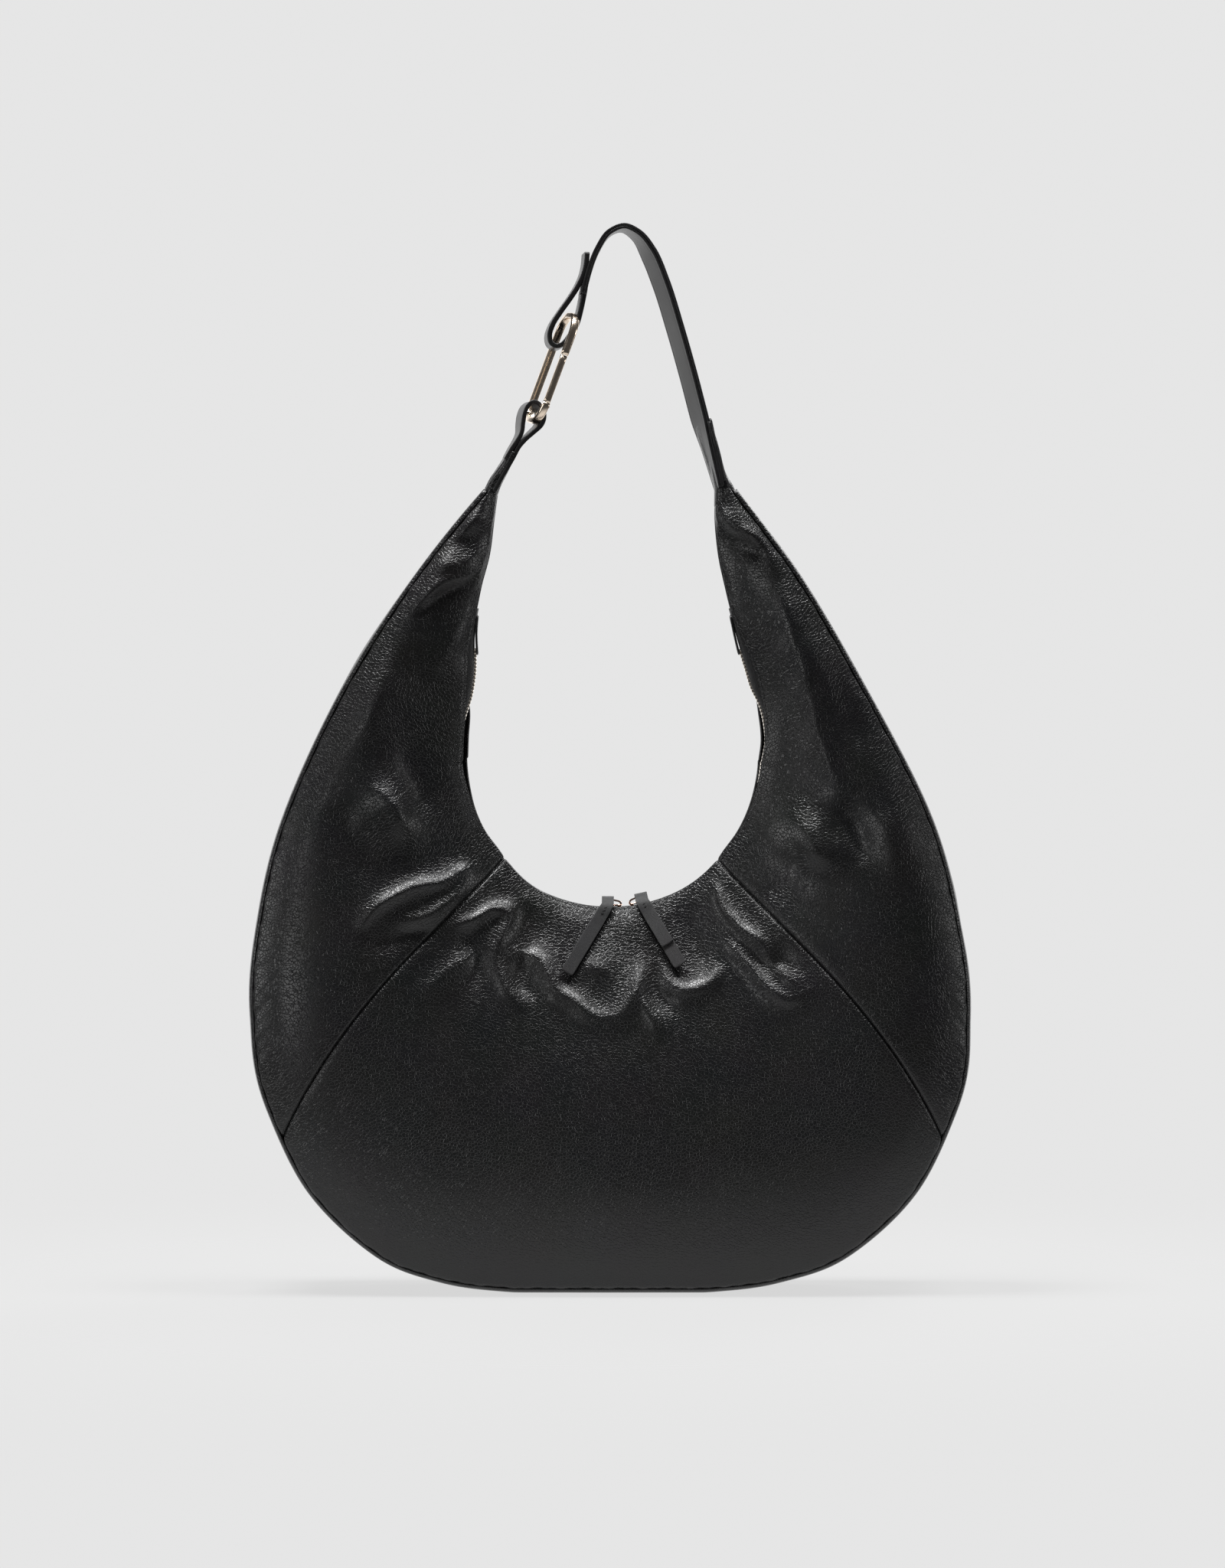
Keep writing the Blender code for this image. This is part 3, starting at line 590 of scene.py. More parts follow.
# Shares across a panel, closer together where the leather turns in at the gusset seam and the zip.
PANEL_SHARES = np.concatenate((
    [0.0, 0.002, 0.005, 0.009, 0.014, 0.020, 0.027], np.linspace(0.035, 0.965, 104),
    [0.972, 0.978, 0.984, 0.989, 0.993, 0.996, 0.998, 1.0]))
# Angles beside a panel's ends, and each panel's name, first and last angle and number of angles.
END_STEPS = np.array([0.0, 0.08, 0.17, 0.27, 0.40, 0.55, 0.75])
PANELS = (("center_panel", -SEAM_ANGLE, SEAM_ANGLE, 200), ("left_wing", -HORN_ANGLE, -SEAM_ANGLE, 160),
          ("right_wing", SEAM_ANGLE, HORN_ANGLE, 160))


def sink(distance, size):
    depth, reach = size
    return depth * MM * np.exp(-(distance / (reach * MM)) ** 2)


def panel_points(first, last, count, side):
    """Outer face of a panel with its creases, rounded over at its seams."""
    even = np.linspace(first, last, count)
    angles = np.unique(np.concatenate((first + END_STEPS, even[2:-2], (last - END_STEPS)[::-1])))
    angle, share = np.meshgrid(angles, PANEL_SHARES, indexing="ij")
    points = leather_surface(angle, share, side)
    width = np.linalg.norm(outer_edge(angle) - leather_edge(angle, side), axis=-1)
    from_gusset, from_zip = share * width, (1 - share) * width
    # creases fade out at the gusset seam, at the zip's edge and at the horn's end
    fade = np.minimum(FOLD_FADE, 0.35 * width)
    height = crease_height(points, side) * smoothstep(from_gusset, 1 * MM, fade)
    height *= 0.25 + 0.75 * smoothstep(from_zip, 0.0, 0.4 * fade)
    height *= smoothstep(HORN_ANGLE - np.abs(angle), 0.0, 5.0)
    # the seam allowance is turned in, so each panel rounds over at its edges
    to_seam = np.full(share.shape, 1.0)
    radius = np.linalg.norm(points[..., (0, 2)] - np.array((0.0, ZIP_CENTRE.z)), axis=-1)
    for seam in (-SEAM_ANGLE, SEAM_ANGLE):
        if first <= seam <= last:
            to_seam = np.minimum(to_seam, np.abs(np.radians(angle - seam)) * radius)
    roll = sink(to_seam, SEAM_SINK) + sink(to_seam, SEAM_ROUND)
    roll += sink(from_gusset, GUSSET_SINK) + sink(from_zip, ZIP_ROUND)
    roll += sink(from_gusset, GUSSET_PINCH) * np.sin(angle * 1.9 + side) * np.sin(angle * 0.83 + 1.0)
    roll += sink(from_zip - STITCH_INSET, STITCH_CHANNEL) * (np.abs(angle) < STITCH_END + 1)
    return points + leather_normal(angle, share, side) * (height - roll)[..., None]


def body_leather():
    for label, side in (("front", -1), ("back", 1)):
        for part, first, last, count in PANELS:
            points = panel_points(first, last, count, side)
            piece = grid_piece(label + "_" + part + "_leather", points, PEBBLED)
            solidify(piece, LEATHER)
            flip_outward(piece, side)
            settle(piece, label + "_" + part, "bag" if part == "center_panel" else None)


def flip_outward(piece, side):
    """Makes an open surface face out of the front or the back."""
    total = sum(polygon.normal.y * polygon.area for polygon in piece.data.polygons)
    if total * side < 0:
        piece.data.flip_normals()


def gusset_leather():
    angles = np.linspace(-HORN_ANGLE, HORN_ANGLE, 260)
    across = np.array([-1.0, -0.985, -0.96, -0.92, -0.84, -0.7, -0.45, -0.15,
                       0.15, 0.45, 0.7, 0.84, 0.92, 0.96, 0.985, 1.0])
    angle, k = np.meshgrid(angles, across, indexing="ij")
    half = DEPTH(np.abs(angle))[..., 0] * MM
    # the gusset rounds in at its seams, and has shallow dents where it leaves the ground
    inset = 2.0 * MM * np.abs(k) ** 7 + 1.2 * MM * smoothstep(np.abs(k), 0.965, 1.0)
    chance = np.random.default_rng(5)
    lift = smoothstep(np.abs(angle), 20, 32)
    for _ in range(26):
        centre, size = chance.uniform(-130, 130), chance.uniform(2.5, 7.0)
        middle, rise = chance.uniform(-0.6, 0.6), chance.uniform(-0.9, 0.9) * MM
        inset += rise * lift * np.exp(-((angle - centre) / size) ** 2 - ((k - middle) / 0.5) ** 2)
    edge = outer_edge(angle) + square_inward(angle) * inset[..., None]
    points = np.stack((edge[..., 0], k * half, np.maximum(edge[..., 1], 0.0)), axis=-1)
    piece = grid_piece("outer_gusset_leather", points, PEBBLED)
    lowest = min(piece.data.polygons, key=lambda polygon: polygon.center.z + abs(polygon.center.x))
    if lowest.normal.z > 0:
        piece.data.flip_normals()
    subdivide(piece)
    solidify(piece, LEATHER)
    settle(piece, "outer_gusset")


def inside_parts():
    """The CAD's own meshes inside the bag, in cloth and board."""
    looks = {name: LINING_CLOTH for name in ("front_lining", "back_lining", "gusset_lining", "slip_pocket")}
    looks["base_board"] = BOARD
    for name, material in looks.items():
        materials = frame["nodes"][name].data.materials
        materials.clear()
        materials.append(material)


# ---------------------------------------------------------------- zip

TOOTH_PITCH = 2.3 * MM
# From a tooth's head to its foot: y, half its width along the zip and half its height, millimetres.
TOOTH_STATIONS = ((-0.85, 0.36, 0.75), (-0.35, 0.52, 1.0), (0.55, 0.50, 1.12), (0.9, 0.62, 1.25),
                  (2.5, 0.66, 1.25), (2.85, 0.50, 1.0))
# Across one tape from the teeth: y and how far it drops into the bag, millimetres.
TAPE_ROWS = ((2.2, 0.3), (3.4, 0.8), (5.4, 1.8), (6.3, 2.8), (7.0, 4.2), (8.6, 8.0))
TAPE_PAST_END = 6.5
TAPE_THICKNESS = 0.5 * MM
THREAD_PITCH = 2.7 * MM
THREAD_LENGTH = 1.9 * MM
THREAD_RADIUS = 0.24 * MM


def zip_place(angle, y, depth):
    """Point beside the zip's middle line. depth goes towards the outer edge."""
    angle = np.asarray(angle, float)
    inner = inner_edge(angle)
    inward = unit(inner - outer_edge(angle))
    size = np.abs(angle)
    sag = np.where(angle < 0, SAG[-1](size)[..., 0], SAG[1](size)[..., 0]) * MM
    flat = inner - inward * (np.asarray(depth) + sag)[..., None]
    return np.stack((flat[..., 0], np.broadcast_to(y, flat[..., 0].shape), flat[..., 1]), axis=-1)


def zip_length_angles(pitch):
    """Angles at an even pitch along the zip, from its left end to its right end."""
    fine = np.linspace(-ZIP_END, ZIP_END, 1500)
    line = zip_place(fine, 0.0, np.zeros(fine.shape))
    at = lengths_along(line)
    return np.interp(np.arange(0.0, at[-1], pitch), at, fine)


def tooth(angle, side):
    """One metal tooth: a foot clamped on the tape and a narrower head that crosses the middle."""
    here = zip_place(np.array(angle), 0.0, np.array(0.0))
    along = unit(zip_place(np.array(angle + 0.3), 0.0, np.array(0.0)) - here)
    inward = unit(zip_place(np.array(angle), 0.0, np.array(-1.0 * MM)) - here)
    out = np.array((0.0, float(side), 0.0))
    points = []
    for y, half_along, half_high in TOOTH_STATIONS:
        for a, b in ((-1, -1), (1, -1), (1, 1), (-1, 1)):
            points.append(here + out * y * MM + along * a * half_along * MM + inward * b * half_high * MM)
    faces = tube_faces(len(TOOTH_STATIONS), 4)
    if side < 0:
        faces = [face[::-1] for face in faces]
    return points, faces


def zip_parts():
    # a tooth of one side stands between two of the other
    angles = zip_length_angles(TOOTH_PITCH / 2)
    for label, side, start in (("front", -1, 0), ("back", 1, 1)):
        teeth = [tooth(angle, side) for angle in angles[start::2]]
        row = join_pieces(label + "_zip_teeth", TOOTH_METAL, teeth)
        for polygon in row.data.polygons:
            polygon.use_smooth = False
        bevel = row.modifiers.new("edges", "BEVEL")
        bevel.width = 0.14 * MM
        bevel.segments = 1
        settle(row, label + "_tooth_row", "bag")
        run = np.linspace(-ZIP_END - TAPE_PAST_END, ZIP_END + TAPE_PAST_END, 150)
        rows = [zip_place(run, side * y * MM, np.full(run.shape, depth * MM)) for y, depth in TAPE_ROWS]
        tape = grid_piece(label + "_zip_cloth", np.stack(rows, axis=1), TAPE_CLOTH)
        solidify(tape, TAPE_THICKNESS, 0.0)
        settle(tape, label + "_zip_tape", "bag")


def zip_end_tabs():
    for label, turn in (("left", -1), ("right", 1)):
        angles = turn * np.linspace(ZIP_END - 1.0, ZIP_END + 5.5, 8)
        path = zip_place(angles, 0.0, np.linspace(-1.7, -0.2, 8) * MM)
        tab = loft(label + "_zip_end_leather", path, (0.0, 1.0, 0.0), 4.6 * MM, 0.7 * MM, SMOOTH_LEATHER)
        subdivide(tab)
        settle(tab, label + "_zip_end_tab", "bag")


def zip_topstitch():
    """Stitches through the leather, beside the zip's opening, front and back."""
    for label, side in (("front", -1), ("back", 1)):
        angles = np.linspace(-STITCH_END, STITCH_END, 700)
        width = np.linalg.norm(outer_edge(angles) - leather_edge(angles, side), axis=-1)
        share = 1.0 - STITCH_INSET / width
        normals = leather_normal(angles, share, side)
        surface = leather_surface(angles, share, side)
        height = crease_height(surface, side) * (0.25 + 0.75 * smoothstep(STITCH_INSET, 0.0, 12 * MM))
        line = surface + normals * (height - 0.30 * MM)[:, None]
        stitches = thread_stitches(label + "_zip_topstitch", line, normals)
        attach(stitches, "bag")


# ---------------------------------------------------------------- sliders and pulls

def slider_frame(label):
    """Local frame on the zip: X along it, Y to the back, Z out of the bag, origin on the zip's line."""
    crown = Vector(JOINTS[label + "_pull_swing"]["pos_m"])
    outward = (crown - ZIP_CENTRE).normalized()
    place = ZIP_CENTRE + outward * ZIP_RADIUS
    z_axis = -outward
    y_axis = Vector((0.0, 1.0, 0.0))
    x_axis = y_axis.cross(z_axis)
    matrix = Matrix((x_axis, y_axis, z_axis)).transposed().to_4x4()
    matrix.translation = place
    return matrix


# From a slider's tail to its nose: place along it and half its width, millimetres.
PLATE_OUTLINE = ((-4.4, 3.2), (-3.6, 4.3), (-1.8, 4.7), (1.0, 4.1), (4.0, 3.5), (6.6, 3.3), (8.0, 2.6))
# The bridge over the upper plate, that a pull hangs from: x and z, millimetres.
BRIDGE = ((7.6, 2.3), (7.5, 3.5), (6.4, 4.6), (4.6, 5.1), (2.2, 5.7), (0.0, 6.0), (-2.0, 5.9), (-3.4, 5.2),
          (-4.0, 4.0), (-4.0, 2.5))


def plate_rings(low, high):
    """Slider plate: round at its tail, waisted, with a blunt nose. Its rims are rounded over."""
    stations = even_line(PLATE_OUTLINE, 0.9)
    outline = [(x, w) for x, w in stations] + [(x, -w) for x, w in stations[::-1]]
    rise = high - low
    rings = []
    for inset, height in ((0.3, low), (0.0, low + 0.3 * rise), (0.0, high - 0.3 * rise), (0.3, high)):
        rings.append([(x - math.copysign(inset, x - 1.8), y - math.copysign(inset, y), height)
                      for x, y in outline])
    return rings


def ring_stack(rings, place):
    """Vertices and faces of a closed stack of rings; place turns millimetres into a point."""
    return [place(*p) for ring in rings for p in ring], tube_faces(len(rings), len(rings[0]))


def block(low, high):
    """Rings of a box between two corners."""
    (x0, y0, z0), (x1, y1, z1) = low, high
    return [[(x0, y0, z), (x1, y0, z), (x1, y1, z), (x0, y1, z)] for z in (z0, z1)]


def slider_parts():
    for label, toward in (("left", 1.0), ("right", -1.0)):
        matrix = slider_frame(label)

        def place(x, y, z):
            """Bends the slider along the zip's circle. X points at the other slider."""
            turn = toward * x * MM / ZIP_RADIUS
            reach = ZIP_RADIUS - z * MM
            local = Vector((reach * math.sin(turn), y * MM, ZIP_RADIUS - reach * math.cos(turn)))
            return matrix @ local

        # two plates, the wedge that joins them and the flanges round the teeth
        stacks = [plate_rings(1.65, 2.75), plate_rings(-2.85, -1.75)]
        stacks.append(block((5.2, -0.5, -1.8), (7.4, 0.5, 1.7)))
        for side in (-1, 1):
            y0, y1 = sorted((side * 3.1, side * 4.2))
            stacks.append(block((-3.4, y0, 0.7), (1.5, y1, 1.8)))
            stacks.append(block((-3.4, y0, -2.0), (1.5, y1, -0.7)))
        solids = [ring_stack(rings, place) for rings in stacks]
        body = join_pieces(label + "_slider_metal", ROSE_GOLD, solids)
        fix_normals(body)
        bevel = body.modifiers.new("edges", "BEVEL")
        bevel.width = 0.18 * MM
        bevel.segments = 2
        bevel.limit_method = "ANGLE"
        settle(body, label + "_slider_body", label + "_slider")
        path = np.array([place(x, 0.0, z) for x, z in even_line(BRIDGE, 0.5)])
        crown = loft(label + "_slider_bridge", path, (0, 1, 0), 1.1 * MM, 0.55 * MM, ROSE_GOLD)
        settle(crown, label + "_slider_crown", label + "_slider")


def fix_normals(piece):
    surface = bmesh.new()
    surface.from_mesh(piece.data)
    bmesh.ops.recalc_face_normals(surface, faces=surface.faces)
    surface.to_mesh(piece.data)
    surface.free()


# Middle line between a pull's legs: y, z and half the gap between them, millimetres.
PULL_MIDDLE = ((0.0, 6.0, 1.45), (-5.5, 5.6, 1.15), (-10.6, 2.2, 0.8), (-14.4, -5.0, 0.72),
               (-22.4, -20.0, 0.72), (-34.0, -45.0, 0.80))
PULL_FOLD = 1.45
PULL_HALF_THICKNESS = 0.62 * MM
# Lean of the front and of the rear leg, shift, length of the front and of the rear leg, half width, number
# of stitch holes.
PULLS = {"left": (-0.60, -0.62, -0.9, 40.0, 28.0, 3.95, 3), "right": (0.34, 0.34, 0.6, 27.0, 41.5, 4.25, 2)}
HOLE_PITCH = 2.2 * MM
HOLE_CORNERS = ((-0.85, -0.32), (0.85, -0.32), (0.85, 0.32), (-0.85, 0.32))


def pull_path(front_length, back_length):
    """y and z in millimetres, in the slider's frame, along the folded strip: front leg, fold, rear leg."""
    line = even_line([row[:2] for row in PULL_MIDDLE], 1.0)
    stations = np.linspace(0, 1, len(PULL_MIDDLE))
    spread = np.interp(np.linspace(0, 1, len(line)), stations, [row[2] for row in PULL_MIDDLE])[:, None]
    tangent = unit(np.gradient(line, axis=0))
    square = np.column_stack((tangent[:, 1], -tangent[:, 0]))
    front = line + square * spread
    back = line - square * spread
    front = front[front[:, 1] > -front_length]
    back = back[back[:, 1] > -back_length]
    if front[5, 1] < back[5, 1]:
        front, back = back, front
    fold = [(PULL_FOLD * math.sin(a), PULL_MIDDLE[0][1] + PULL_FOLD * math.cos(a))
            for a in np.linspace(0, math.pi, 9)[1:-1]]
    return np.concatenate((front[::-1], fold, back)), len(front)


def stitch_holes(label, path, turned, first, count):
    """A short row of slanted stitch holes down the middle of the front leg, below the fold. They are thin
    near-black marks on the leather, painted shade for the inside of each hole.
    """
    tangent = unit(np.gradient(path, axis=0))[first]
    out = unit(np.cross(turned[first], tangent))
    if out[1] > 0:
        out = -out
    slant = unit(turned[first] + 0.55 * tangent)
    rise = np.cross(out, slant)
    marks = []
    for k in range(count):
        centre = path[first] - tangent * HOLE_PITCH * k + out * 0.58 * MM
        corners = [centre + (slant * a + rise * b + out * c) * MM
                   for c in (0.0, 0.08) for a, b in HOLE_CORNERS]
        marks.append((corners, tube_faces(2, 4)))
    holes = join_pieces(label + "_pull_stitch_holes", HOLE_SHADE, marks)
    fix_normals(holes)
    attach(holes, label + "_pull")


def pull_parts():
    for label, (lean, rear_lean, shift, front_length, back_length, half, hole_count) in PULLS.items():
        matrix = slider_frame(label)
        line, front_count = pull_path(front_length, back_length)
        count = len(line)
        drop = np.maximum(0.0, 3.0 - line[:, 1])
        leans = np.where(np.arange(count) < front_count, lean, rear_lean)
        local = np.column_stack((shift + leans * drop, line[:, 0], line[:, 1]))
        share = np.clip(drop / 10.0, 0.0, 1.0)[:, None]
        across = unit(np.array((1.0, 0.0, 0.0)) + share * np.array((0.0, 0.0, lean)))
        ends = np.minimum(np.arange(count), np.arange(count)[::-1]).astype(float)
        half_width = half * (0.95 + 0.05 * share[:, 0]) * (1.0 - 0.14 * np.exp(-ends / 0.7))
        path = np.array([matrix @ (Vector(p) * MM) for p in local])
        turned = np.array([matrix.to_3x3() @ Vector(v) for v in across])
        strip = loft(label + "_leather_pull", path, turned, half_width * MM, PULL_HALF_THICKNESS, NUBUCK,
                     corner=0.35)
        subdivide(strip)
        settle(strip, label + "_pull_tab", label + "_pull")
        stitch_holes(label, path, turned, front_count - 15, hole_count)


# ---------------------------------------------------------------- strap

STRAP_HALF_WIDTH = 12.2 * MM
PLY_HALF_THICKNESS = 0.91 * MM
# Each ply's middle stands off the strap's middle line.
PLY_SHIFT = 0.92 * MM
LOOP_HALF_WIDTH = 10.4 * MM
LOOP_HALF_THICKNESS = 1.6 * MM
TAB_HALF_THICKNESS = 1.4 * MM
WRAP_HALF_WIDTH = 12.0 * MM
WRAP_HALF_THICKNESS = 0.8 * MM
WRAP_SHIFT = -2.66 * MM
PRESSED_LINE = 0.14 * MM
# x and z in millimetres, from the right horn over the top to the loop.
STRAP_MIDDLE = ((68.6, 500), (62.6, 522), (56.6, 543), (49.0, 572), (40.8, 601), (31.7, 630), (24.0, 648.5),
                (16.3, 660.0), (7.6, 664.6), (-0.7, 661.4), (-8.0, 651.0), (-13.2, 638.0), (-16.2, 628.0),
                (-17.8, 621.0))
UPPER_LOOP = ((-15.4, 649.0), (-15.8, 643.0), (-17.2, 636.0), (-20.6, 628.0), (-25.6, 620.0), (-32.0, 611.0),
              (-37.2, 602.5), (-39.0, 596.0), (-37.8, 591.3), (-34.2, 589.6), (-30.0, 591.4), (-25.4, 596.5),
              (-21.6, 604.0), (-19.4, 612.0), (-17.8, 619.5), (-16.4, 627.0))
HORN_TAB = ((-73.4, 498.0), (-68.6, 507.5), (-64.8, 514.5), (-61.6, 520.5), (-58.6, 526.5), (-54.2, 531.8),
            (-49.2, 536.4), (-45.0, 540.8), (-43.6, 546.4), (-45.2, 551.6), (-49.2, 554.6), (-53.0, 552.6),
            (-55.4, 547.6), (-56.4, 541.5), (-56.9, 535.8), (-59.4, 530.6), (-62.3, 526.0), (-64.6, 521.8),
            (-66.2, 518.8))
# Middle x, height, half thickness, half width and yaw in degrees of the leather gathered round each end.
LEFT_SLEEVE = ((-77.6, 491, 4.6, 7.0, 0), (-75.0, 498, 4.6, 7.8, 0), (-71.8, 505.5, 4.0, 9.0, 3),
               (-68.3, 511.5, 3.5, 9.8, 6), (-65.4, 516.5, 3.1, 10.4, 8), (-63.4, 520.5, 2.9, 11.0, 8),
               (-61.8, 523.8, 2.6, 11.2, 8))
RIGHT_SLEEVE = ((72.6, 490, 7.6, 8.6, 0), (71.6, 499, 6.6, 8.6, 2), (68.4, 507.5, 4.4, 9.6, 8),
                (66.2, 514, 3.6, 10.8, 13), (63.8, 522, 3.0, 12.0, 17), (61.3, 530, 2.8, 12.8, 19),
                (58.9, 538, 2.7, 13.2, 19), (57.6, 542.5, 2.5, 13.2, 19))


def yawed(degrees):
    """The strap's width direction: its front edge is turned to the right."""
    turn = np.radians(degrees)
    return np.stack((np.sin(turn), -np.cos(turn), np.zeros(np.shape(turn))), axis=-1)


def strap_line(points, spacing=3.0):
    flat = even_line(points, spacing) * MM
    return np.column_stack((flat[:, 0], np.zeros(len(flat)), flat[:, 1]))


def beside(line, distance):
    tangent = unit(np.gradient(line, axis=0))
    square = np.column_stack((-tangent[:, 2], np.zeros(len(line)), tangent[:, 0]))
    return line + square * distance


def strap_piece(name, line, yaw, half_width, half_thickness, node, body=None):
    """Leather strip with a pressed line near both edges."""
    piece = loft(name, line, yawed(yaw), half_width, half_thickness, SMOOTH_LEATHER, crease=PRESSED_LINE)
    subdivide(piece)
    settle(piece, node, body)


def strap_parts():
    line = strap_line(STRAP_MIDDLE)
    at = np.linspace(0.0, 1.0, len(line))
    yaw = np.interp(at, (0.0, 0.12, 0.2, 0.66, 0.74, 0.82, 0.9, 1.0), (6, 12, 19, 19, 10, 3, 2, 5))
    for layer, turn in (("outer", -1), ("inner", 1)):
        strap_piece("strap_" + layer + "_leather", beside(line, turn * PLY_SHIFT), yaw, STRAP_HALF_WIDTH,
                    PLY_HALF_THICKNESS, "strap_" + layer + "_ply")
    loop = strap_line(UPPER_LOOP, 1.6)
    strap_piece("strap_upper_loop_leather", loop, np.full(len(loop), 6.5), LOOP_HALF_WIDTH,
                LOOP_HALF_THICKNESS, "strap_upper_loop", "strap")
    tab = strap_line(HORN_TAB, 1.8)
    yaw = np.interp(np.linspace(0.0, 1.0, len(tab)), (0.0, 0.3, 0.5, 0.75, 1.0), (3.0, 9.0, 15.0, 12.0, 6.0))
    strap_piece("left_horn_tab_leather", tab, yaw, LOOP_HALF_WIDTH, TAB_HALF_THICKNESS, "left_horn_tab")
    covered = slice(1, 16)
    wrap_yaw = np.interp(at[covered], (0.0, 0.12, 0.2), (6, 12, 19))
    strap_piece("right_horn_wrap_leather", beside(line[covered], WRAP_SHIFT), wrap_yaw, WRAP_HALF_WIDTH,
                WRAP_HALF_THICKNESS, "right_horn_wrap")


def blunt(wave, power):
    """A sine or cosine flattened towards a square wave."""
    return np.sign(wave) * np.abs(wave) ** power


def horn_sleeves():
    """Gathered leather that closes each horn round the strap's end, with pleats running along it."""
    for label, rows in (("left", LEFT_SLEEVE), ("right", RIGHT_SLEEVE)):
        table = even_line(rows, 0.9)
        middle = np.column_stack((table[:, 0], np.zeros(len(table)), table[:, 1])) * MM
        tangent = unit(np.gradient(middle, axis=0))
        square = np.column_stack((tangent[:, 2], np.zeros(len(table)), -tangent[:, 0]))
        width = yawed(table[:, 4])
        turns = np.linspace(0, 2 * math.pi, 96, endpoint=False)
        rings = []
        for i in range(len(table)):
            along = i / (len(table) - 1)
            pleat = 0.7 * np.abs(np.sin(turns * 3.5 + along * 2.6))
            pleat += 0.4 * np.abs(np.sin(turns * 6.5 - along * 3.1))
            depth = 0.55 * smoothstep(along, 0.15, 0.45) * (1.0 - 0.6 * smoothstep(along, 0.7, 1.0))
            thick = (table[i, 2] + depth * (pleat - 0.5)) * MM
            wide = (table[i, 3] + depth * (pleat - 0.5)) * MM
            rings.append(middle[i] + square[i] * (blunt(np.cos(turns), 0.8) * thick)[:, None]
                         + width[i] * (blunt(np.sin(turns), 0.8) * wide)[:, None])
        sleeve = grid_piece(label + "_horn_sleeve", np.array(rings), PEBBLED, around=True, caps=True)
        subdivide(sleeve)
        settle(sleeve, label + "_horn_neck")


# ---------------------------------------------------------------- ring

RING_HALF_LENGTH = 34.9
RING_HALF_WIDTH = 16.0
RING_CORNER = 12.5
PIN_HEIGHT = -24.5
GATE_TOP = 9.4
RING_UP = Vector((0.3497, 0.0, 0.9369))


def ring_frame():
    """Origin in the ring's middle, X across it to the gate, Z up its length, from the gate's joint."""
    pin = Vector(JOINTS["gate_swing"]["pos_m"])
    through = Vector(JOINTS["gate_swing"]["axis"]).normalized()
    up = RING_UP.normalized()
    across = up.cross(through).normalized()
    if across.y > 0:
        across.negate()
    origin = pin - across * RING_HALF_WIDTH * MM - up * PIN_HEIGHT * MM
    matrix = Matrix((across, up.cross(across), up)).transposed().to_4x4()
    matrix.translation = origin
    return matrix


def bar(name, points, matrix, half_wide, half_thick, material):
    """Metal bar with a bevelled, nearly square section along a line in the ring's XZ plane."""
    line = np.array(points)
    tangent = unit(np.gradient(line, axis=0))
    outward = np.column_stack((tangent[:, 1], -tangent[:, 0]))
    turns = np.linspace(0, 2 * math.pi, 20, endpoint=False)
    section = list(zip(blunt(np.cos(turns), 0.55) * half_wide, blunt(np.sin(turns), 0.55) * half_thick))
    rings = []
    for (x, z), (out_x, out_z) in zip(line, outward):
        rings.append([matrix @ (Vector((x + out_x * u, v, z + out_z * u)) * MM) for u, v in section])
    return grid_piece(name, np.array(rings), material, around=True, caps=True)


def ring_parts():
    matrix = ring_frame()
    points = [(RING_HALF_WIDTH, z) for z in (GATE_TOP, 12.0, 18.0)]
    for quarter, (sx, sz) in enumerate(((1, 1), (-1, 1), (-1, -1), (1, -1))):
        cx, cz = sx * (RING_HALF_WIDTH - RING_CORNER), sz * (RING_HALF_LENGTH - RING_CORNER)
        for a in np.radians(np.linspace(quarter * 90, quarter * 90 + 90, 14)):
            points.append((cx + RING_CORNER * math.cos(a), cz + RING_CORNER * math.sin(a)))
        if quarter == 1:
            points.extend((-RING_HALF_WIDTH, z) for z in (18.0, 6.0, -6.0, -18.0))
    body = bar("ring_metal", points, matrix, 1.95, 2.45, GOLD)
    settle(body, "ring_body", "strap")
    gate_line = [(RING_HALF_WIDTH, z) for z in (-22.9, -20.0, -10.0, 0.0, 5.0, 9.0)]
    gate = bar("ring_gate_metal", gate_line, matrix, 1.7, 2.15, GOLD)
    settle(gate, "ring_gate", "gate")
    pin_points = even_line([(RING_HALF_WIDTH, PIN_HEIGHT, y) for y in (-2.6, 2.6)], 0.4)
    rings = []
    for x, z, y in pin_points:
        head = 1.05 if abs(y) > 2.2 else 0.8
        rings.append([matrix @ (Vector((x + head * math.cos(a), y, z + head * math.sin(a))) * MM)
                      for a in np.linspace(0, 2 * math.pi, 20, endpoint=False)])
    pin = grid_piece("ring_gate_rivet", np.array(rings), GOLD, around=True, caps=True)
    settle(pin, "gate_pin", "strap")


# ---------------------------------------------------------------- stage

PICTURE_HEIGHT = 0.983
AIM = Vector((0.0014, 0.0, 0.3158))
CAMERA_DISTANCE = 3.2
SENSOR = 36.0
BACKGROUND = (0.79, 0.79, 0.79, 1.0)
# What the bag sees of the room: dim where the camera stands, brighter round the back.
ROOM_FRONT, ROOM_BACK = 0.055, 1.20
FLOOR_COLOUR = (0.48, 0.48, 0.48)
FLOOR_RADIUS = 1.6
FLOOR_DROP = 0.6 * MM
FLOOR_SHADOW = 0.16
LIGHT_AIM = Vector((0.0, 0.0, 0.3))
# Name, place, side and power in watts of each square lamp.
LIGHTS = (("key", (-0.50, -0.12, 2.35), 0.7, 62.0), ("fill", (0.60, -0.15, 2.25), 0.6, 32.0),
          ("front", (-1.3, -2.1, 0.55), 0.5, 5.0), ("rim_left", (-2.2, -0.75, 0.6), 0.8, 9.0),
          ("rim_right", (2.2, -0.55, 0.6), 0.8, 7.0), ("back", (0.9, 1.5, 1.6), 0.9, 16.0))


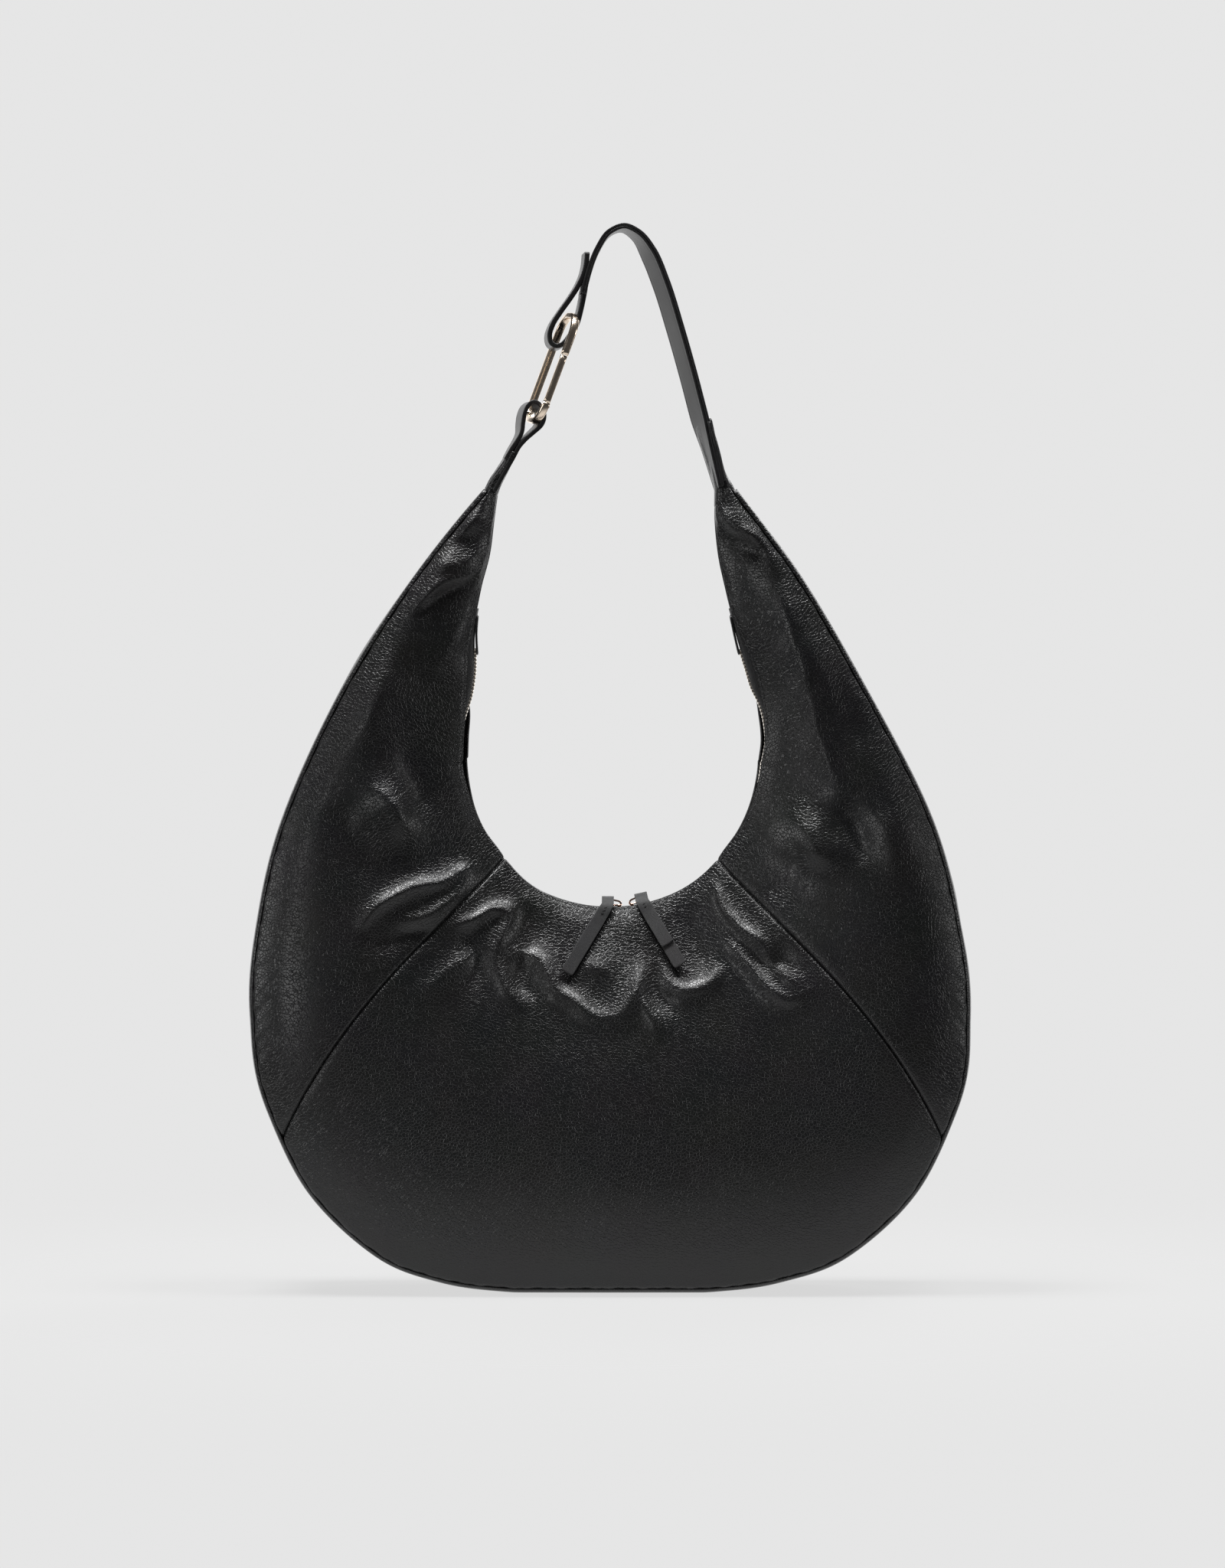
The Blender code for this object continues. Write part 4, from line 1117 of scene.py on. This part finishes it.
def camera():
    scene = bpy.context.scene
    scene.view_settings.view_transform = "Standard"
    scene.view_settings.look = "None"
    viewer = bpy.data.objects.new("camera", bpy.data.cameras.new("camera"))
    scene.collection.objects.link(viewer)
    viewer.location = AIM + Vector((0.0, -CAMERA_DISTANCE, 0.0))
    viewer.rotation_euler = (math.pi / 2, 0.0, 0.0)
    viewer.data.sensor_width = SENSOR
    viewer.data.lens = SENSOR * CAMERA_DISTANCE / PICTURE_HEIGHT
    scene.camera = viewer


def room():
    """A plain light background for the camera, and the room that the bag reflects."""
    world = bpy.data.worlds.new("studio")
    bpy.context.scene.world = world
    world.use_nodes = True
    tree = world.node_tree
    shown = tree.nodes["Background"]
    feed(shown, {"Color": BACKGROUND})
    place = add_node(tree, "TexCoord", "Generated", {})
    back = add_node(tree, "SeparateXYZ", "Y", {"Vector": place})
    strength = add_node(tree, "MapRange", "Result", {"Value": back, "From Min": 0.40, "From Max": 0.85,
                                                     "To Min": ROOM_FRONT, "To Max": ROOM_BACK})
    seen = add_node(tree, "Background", "Background", {"Color": (1.0, 1.0, 1.0, 1.0), "Strength": strength})
    to_camera = add_node(tree, "LightPath", "Is Camera Ray", {})
    mix = add_node(tree, "MixShader", "Shader", {"Fac": to_camera, 1: seen, 2: shown.outputs["Background"]})
    feed(tree.nodes["World Output"], {"Surface": mix})


def lights():
    for name, place, size, power in LIGHTS:
        lamp = bpy.data.lights.new(name, "AREA")
        lamp.shape = "SQUARE"
        lamp.size = size
        lamp.energy = power
        light = bpy.data.objects.new(name, lamp)
        light.location = place
        light.rotation_euler = (LIGHT_AIM - Vector(place)).to_track_quat("-Z", "Y").to_euler()
        bpy.context.scene.collection.objects.link(light)


def floor():
    """A disc that glows like the background and takes a faint shadow, clear towards its edge."""
    mesh = bpy.data.meshes.new("floor")
    disc = bmesh.new()
    bmesh.ops.create_circle(disc, cap_ends=True, segments=96, radius=FLOOR_RADIUS)
    disc.to_mesh(mesh)
    disc.free()
    material, shader = base_material("floor", FLOOR_COLOUR, 1.0)
    feed(shader, {"Specular IOR Level": 0.0})
    tree = material.node_tree
    glow = add_node(tree, "Emission", "Emission", {"Color": BACKGROUND})
    shade = add_node(tree, "MixShader", "Shader", {"Fac": FLOOR_SHADOW, 1: glow, 2: shader.outputs["BSDF"]})
    place = add_node(tree, "TexCoord", "Object", {})
    reach = add_node(tree, "VectorMath", "Value", {0: place}, operation="LENGTH")
    fade = add_node(tree, "MapRange", "Result", {"Value": reach, "From Min": 0.25, "From Max": 0.9},
                    interpolation_type="SMOOTHSTEP")
    clear = add_node(tree, "BsdfTransparent", "BSDF", {})
    blend = add_node(tree, "MixShader", "Shader", {"Fac": fade, 1: shade, 2: clear})
    feed(tree.nodes["Material Output"], {"Surface": blend})
    piece = link("floor", mesh, material)
    piece.location.z = -FLOOR_DROP


camera()
room()
lights()
floor()
body_leather()
gusset_leather()
inside_parts()
zip_parts()
zip_end_tabs()
zip_topstitch()
slider_parts()
pull_parts()
strap_parts()
horn_sleeves()
ring_parts()
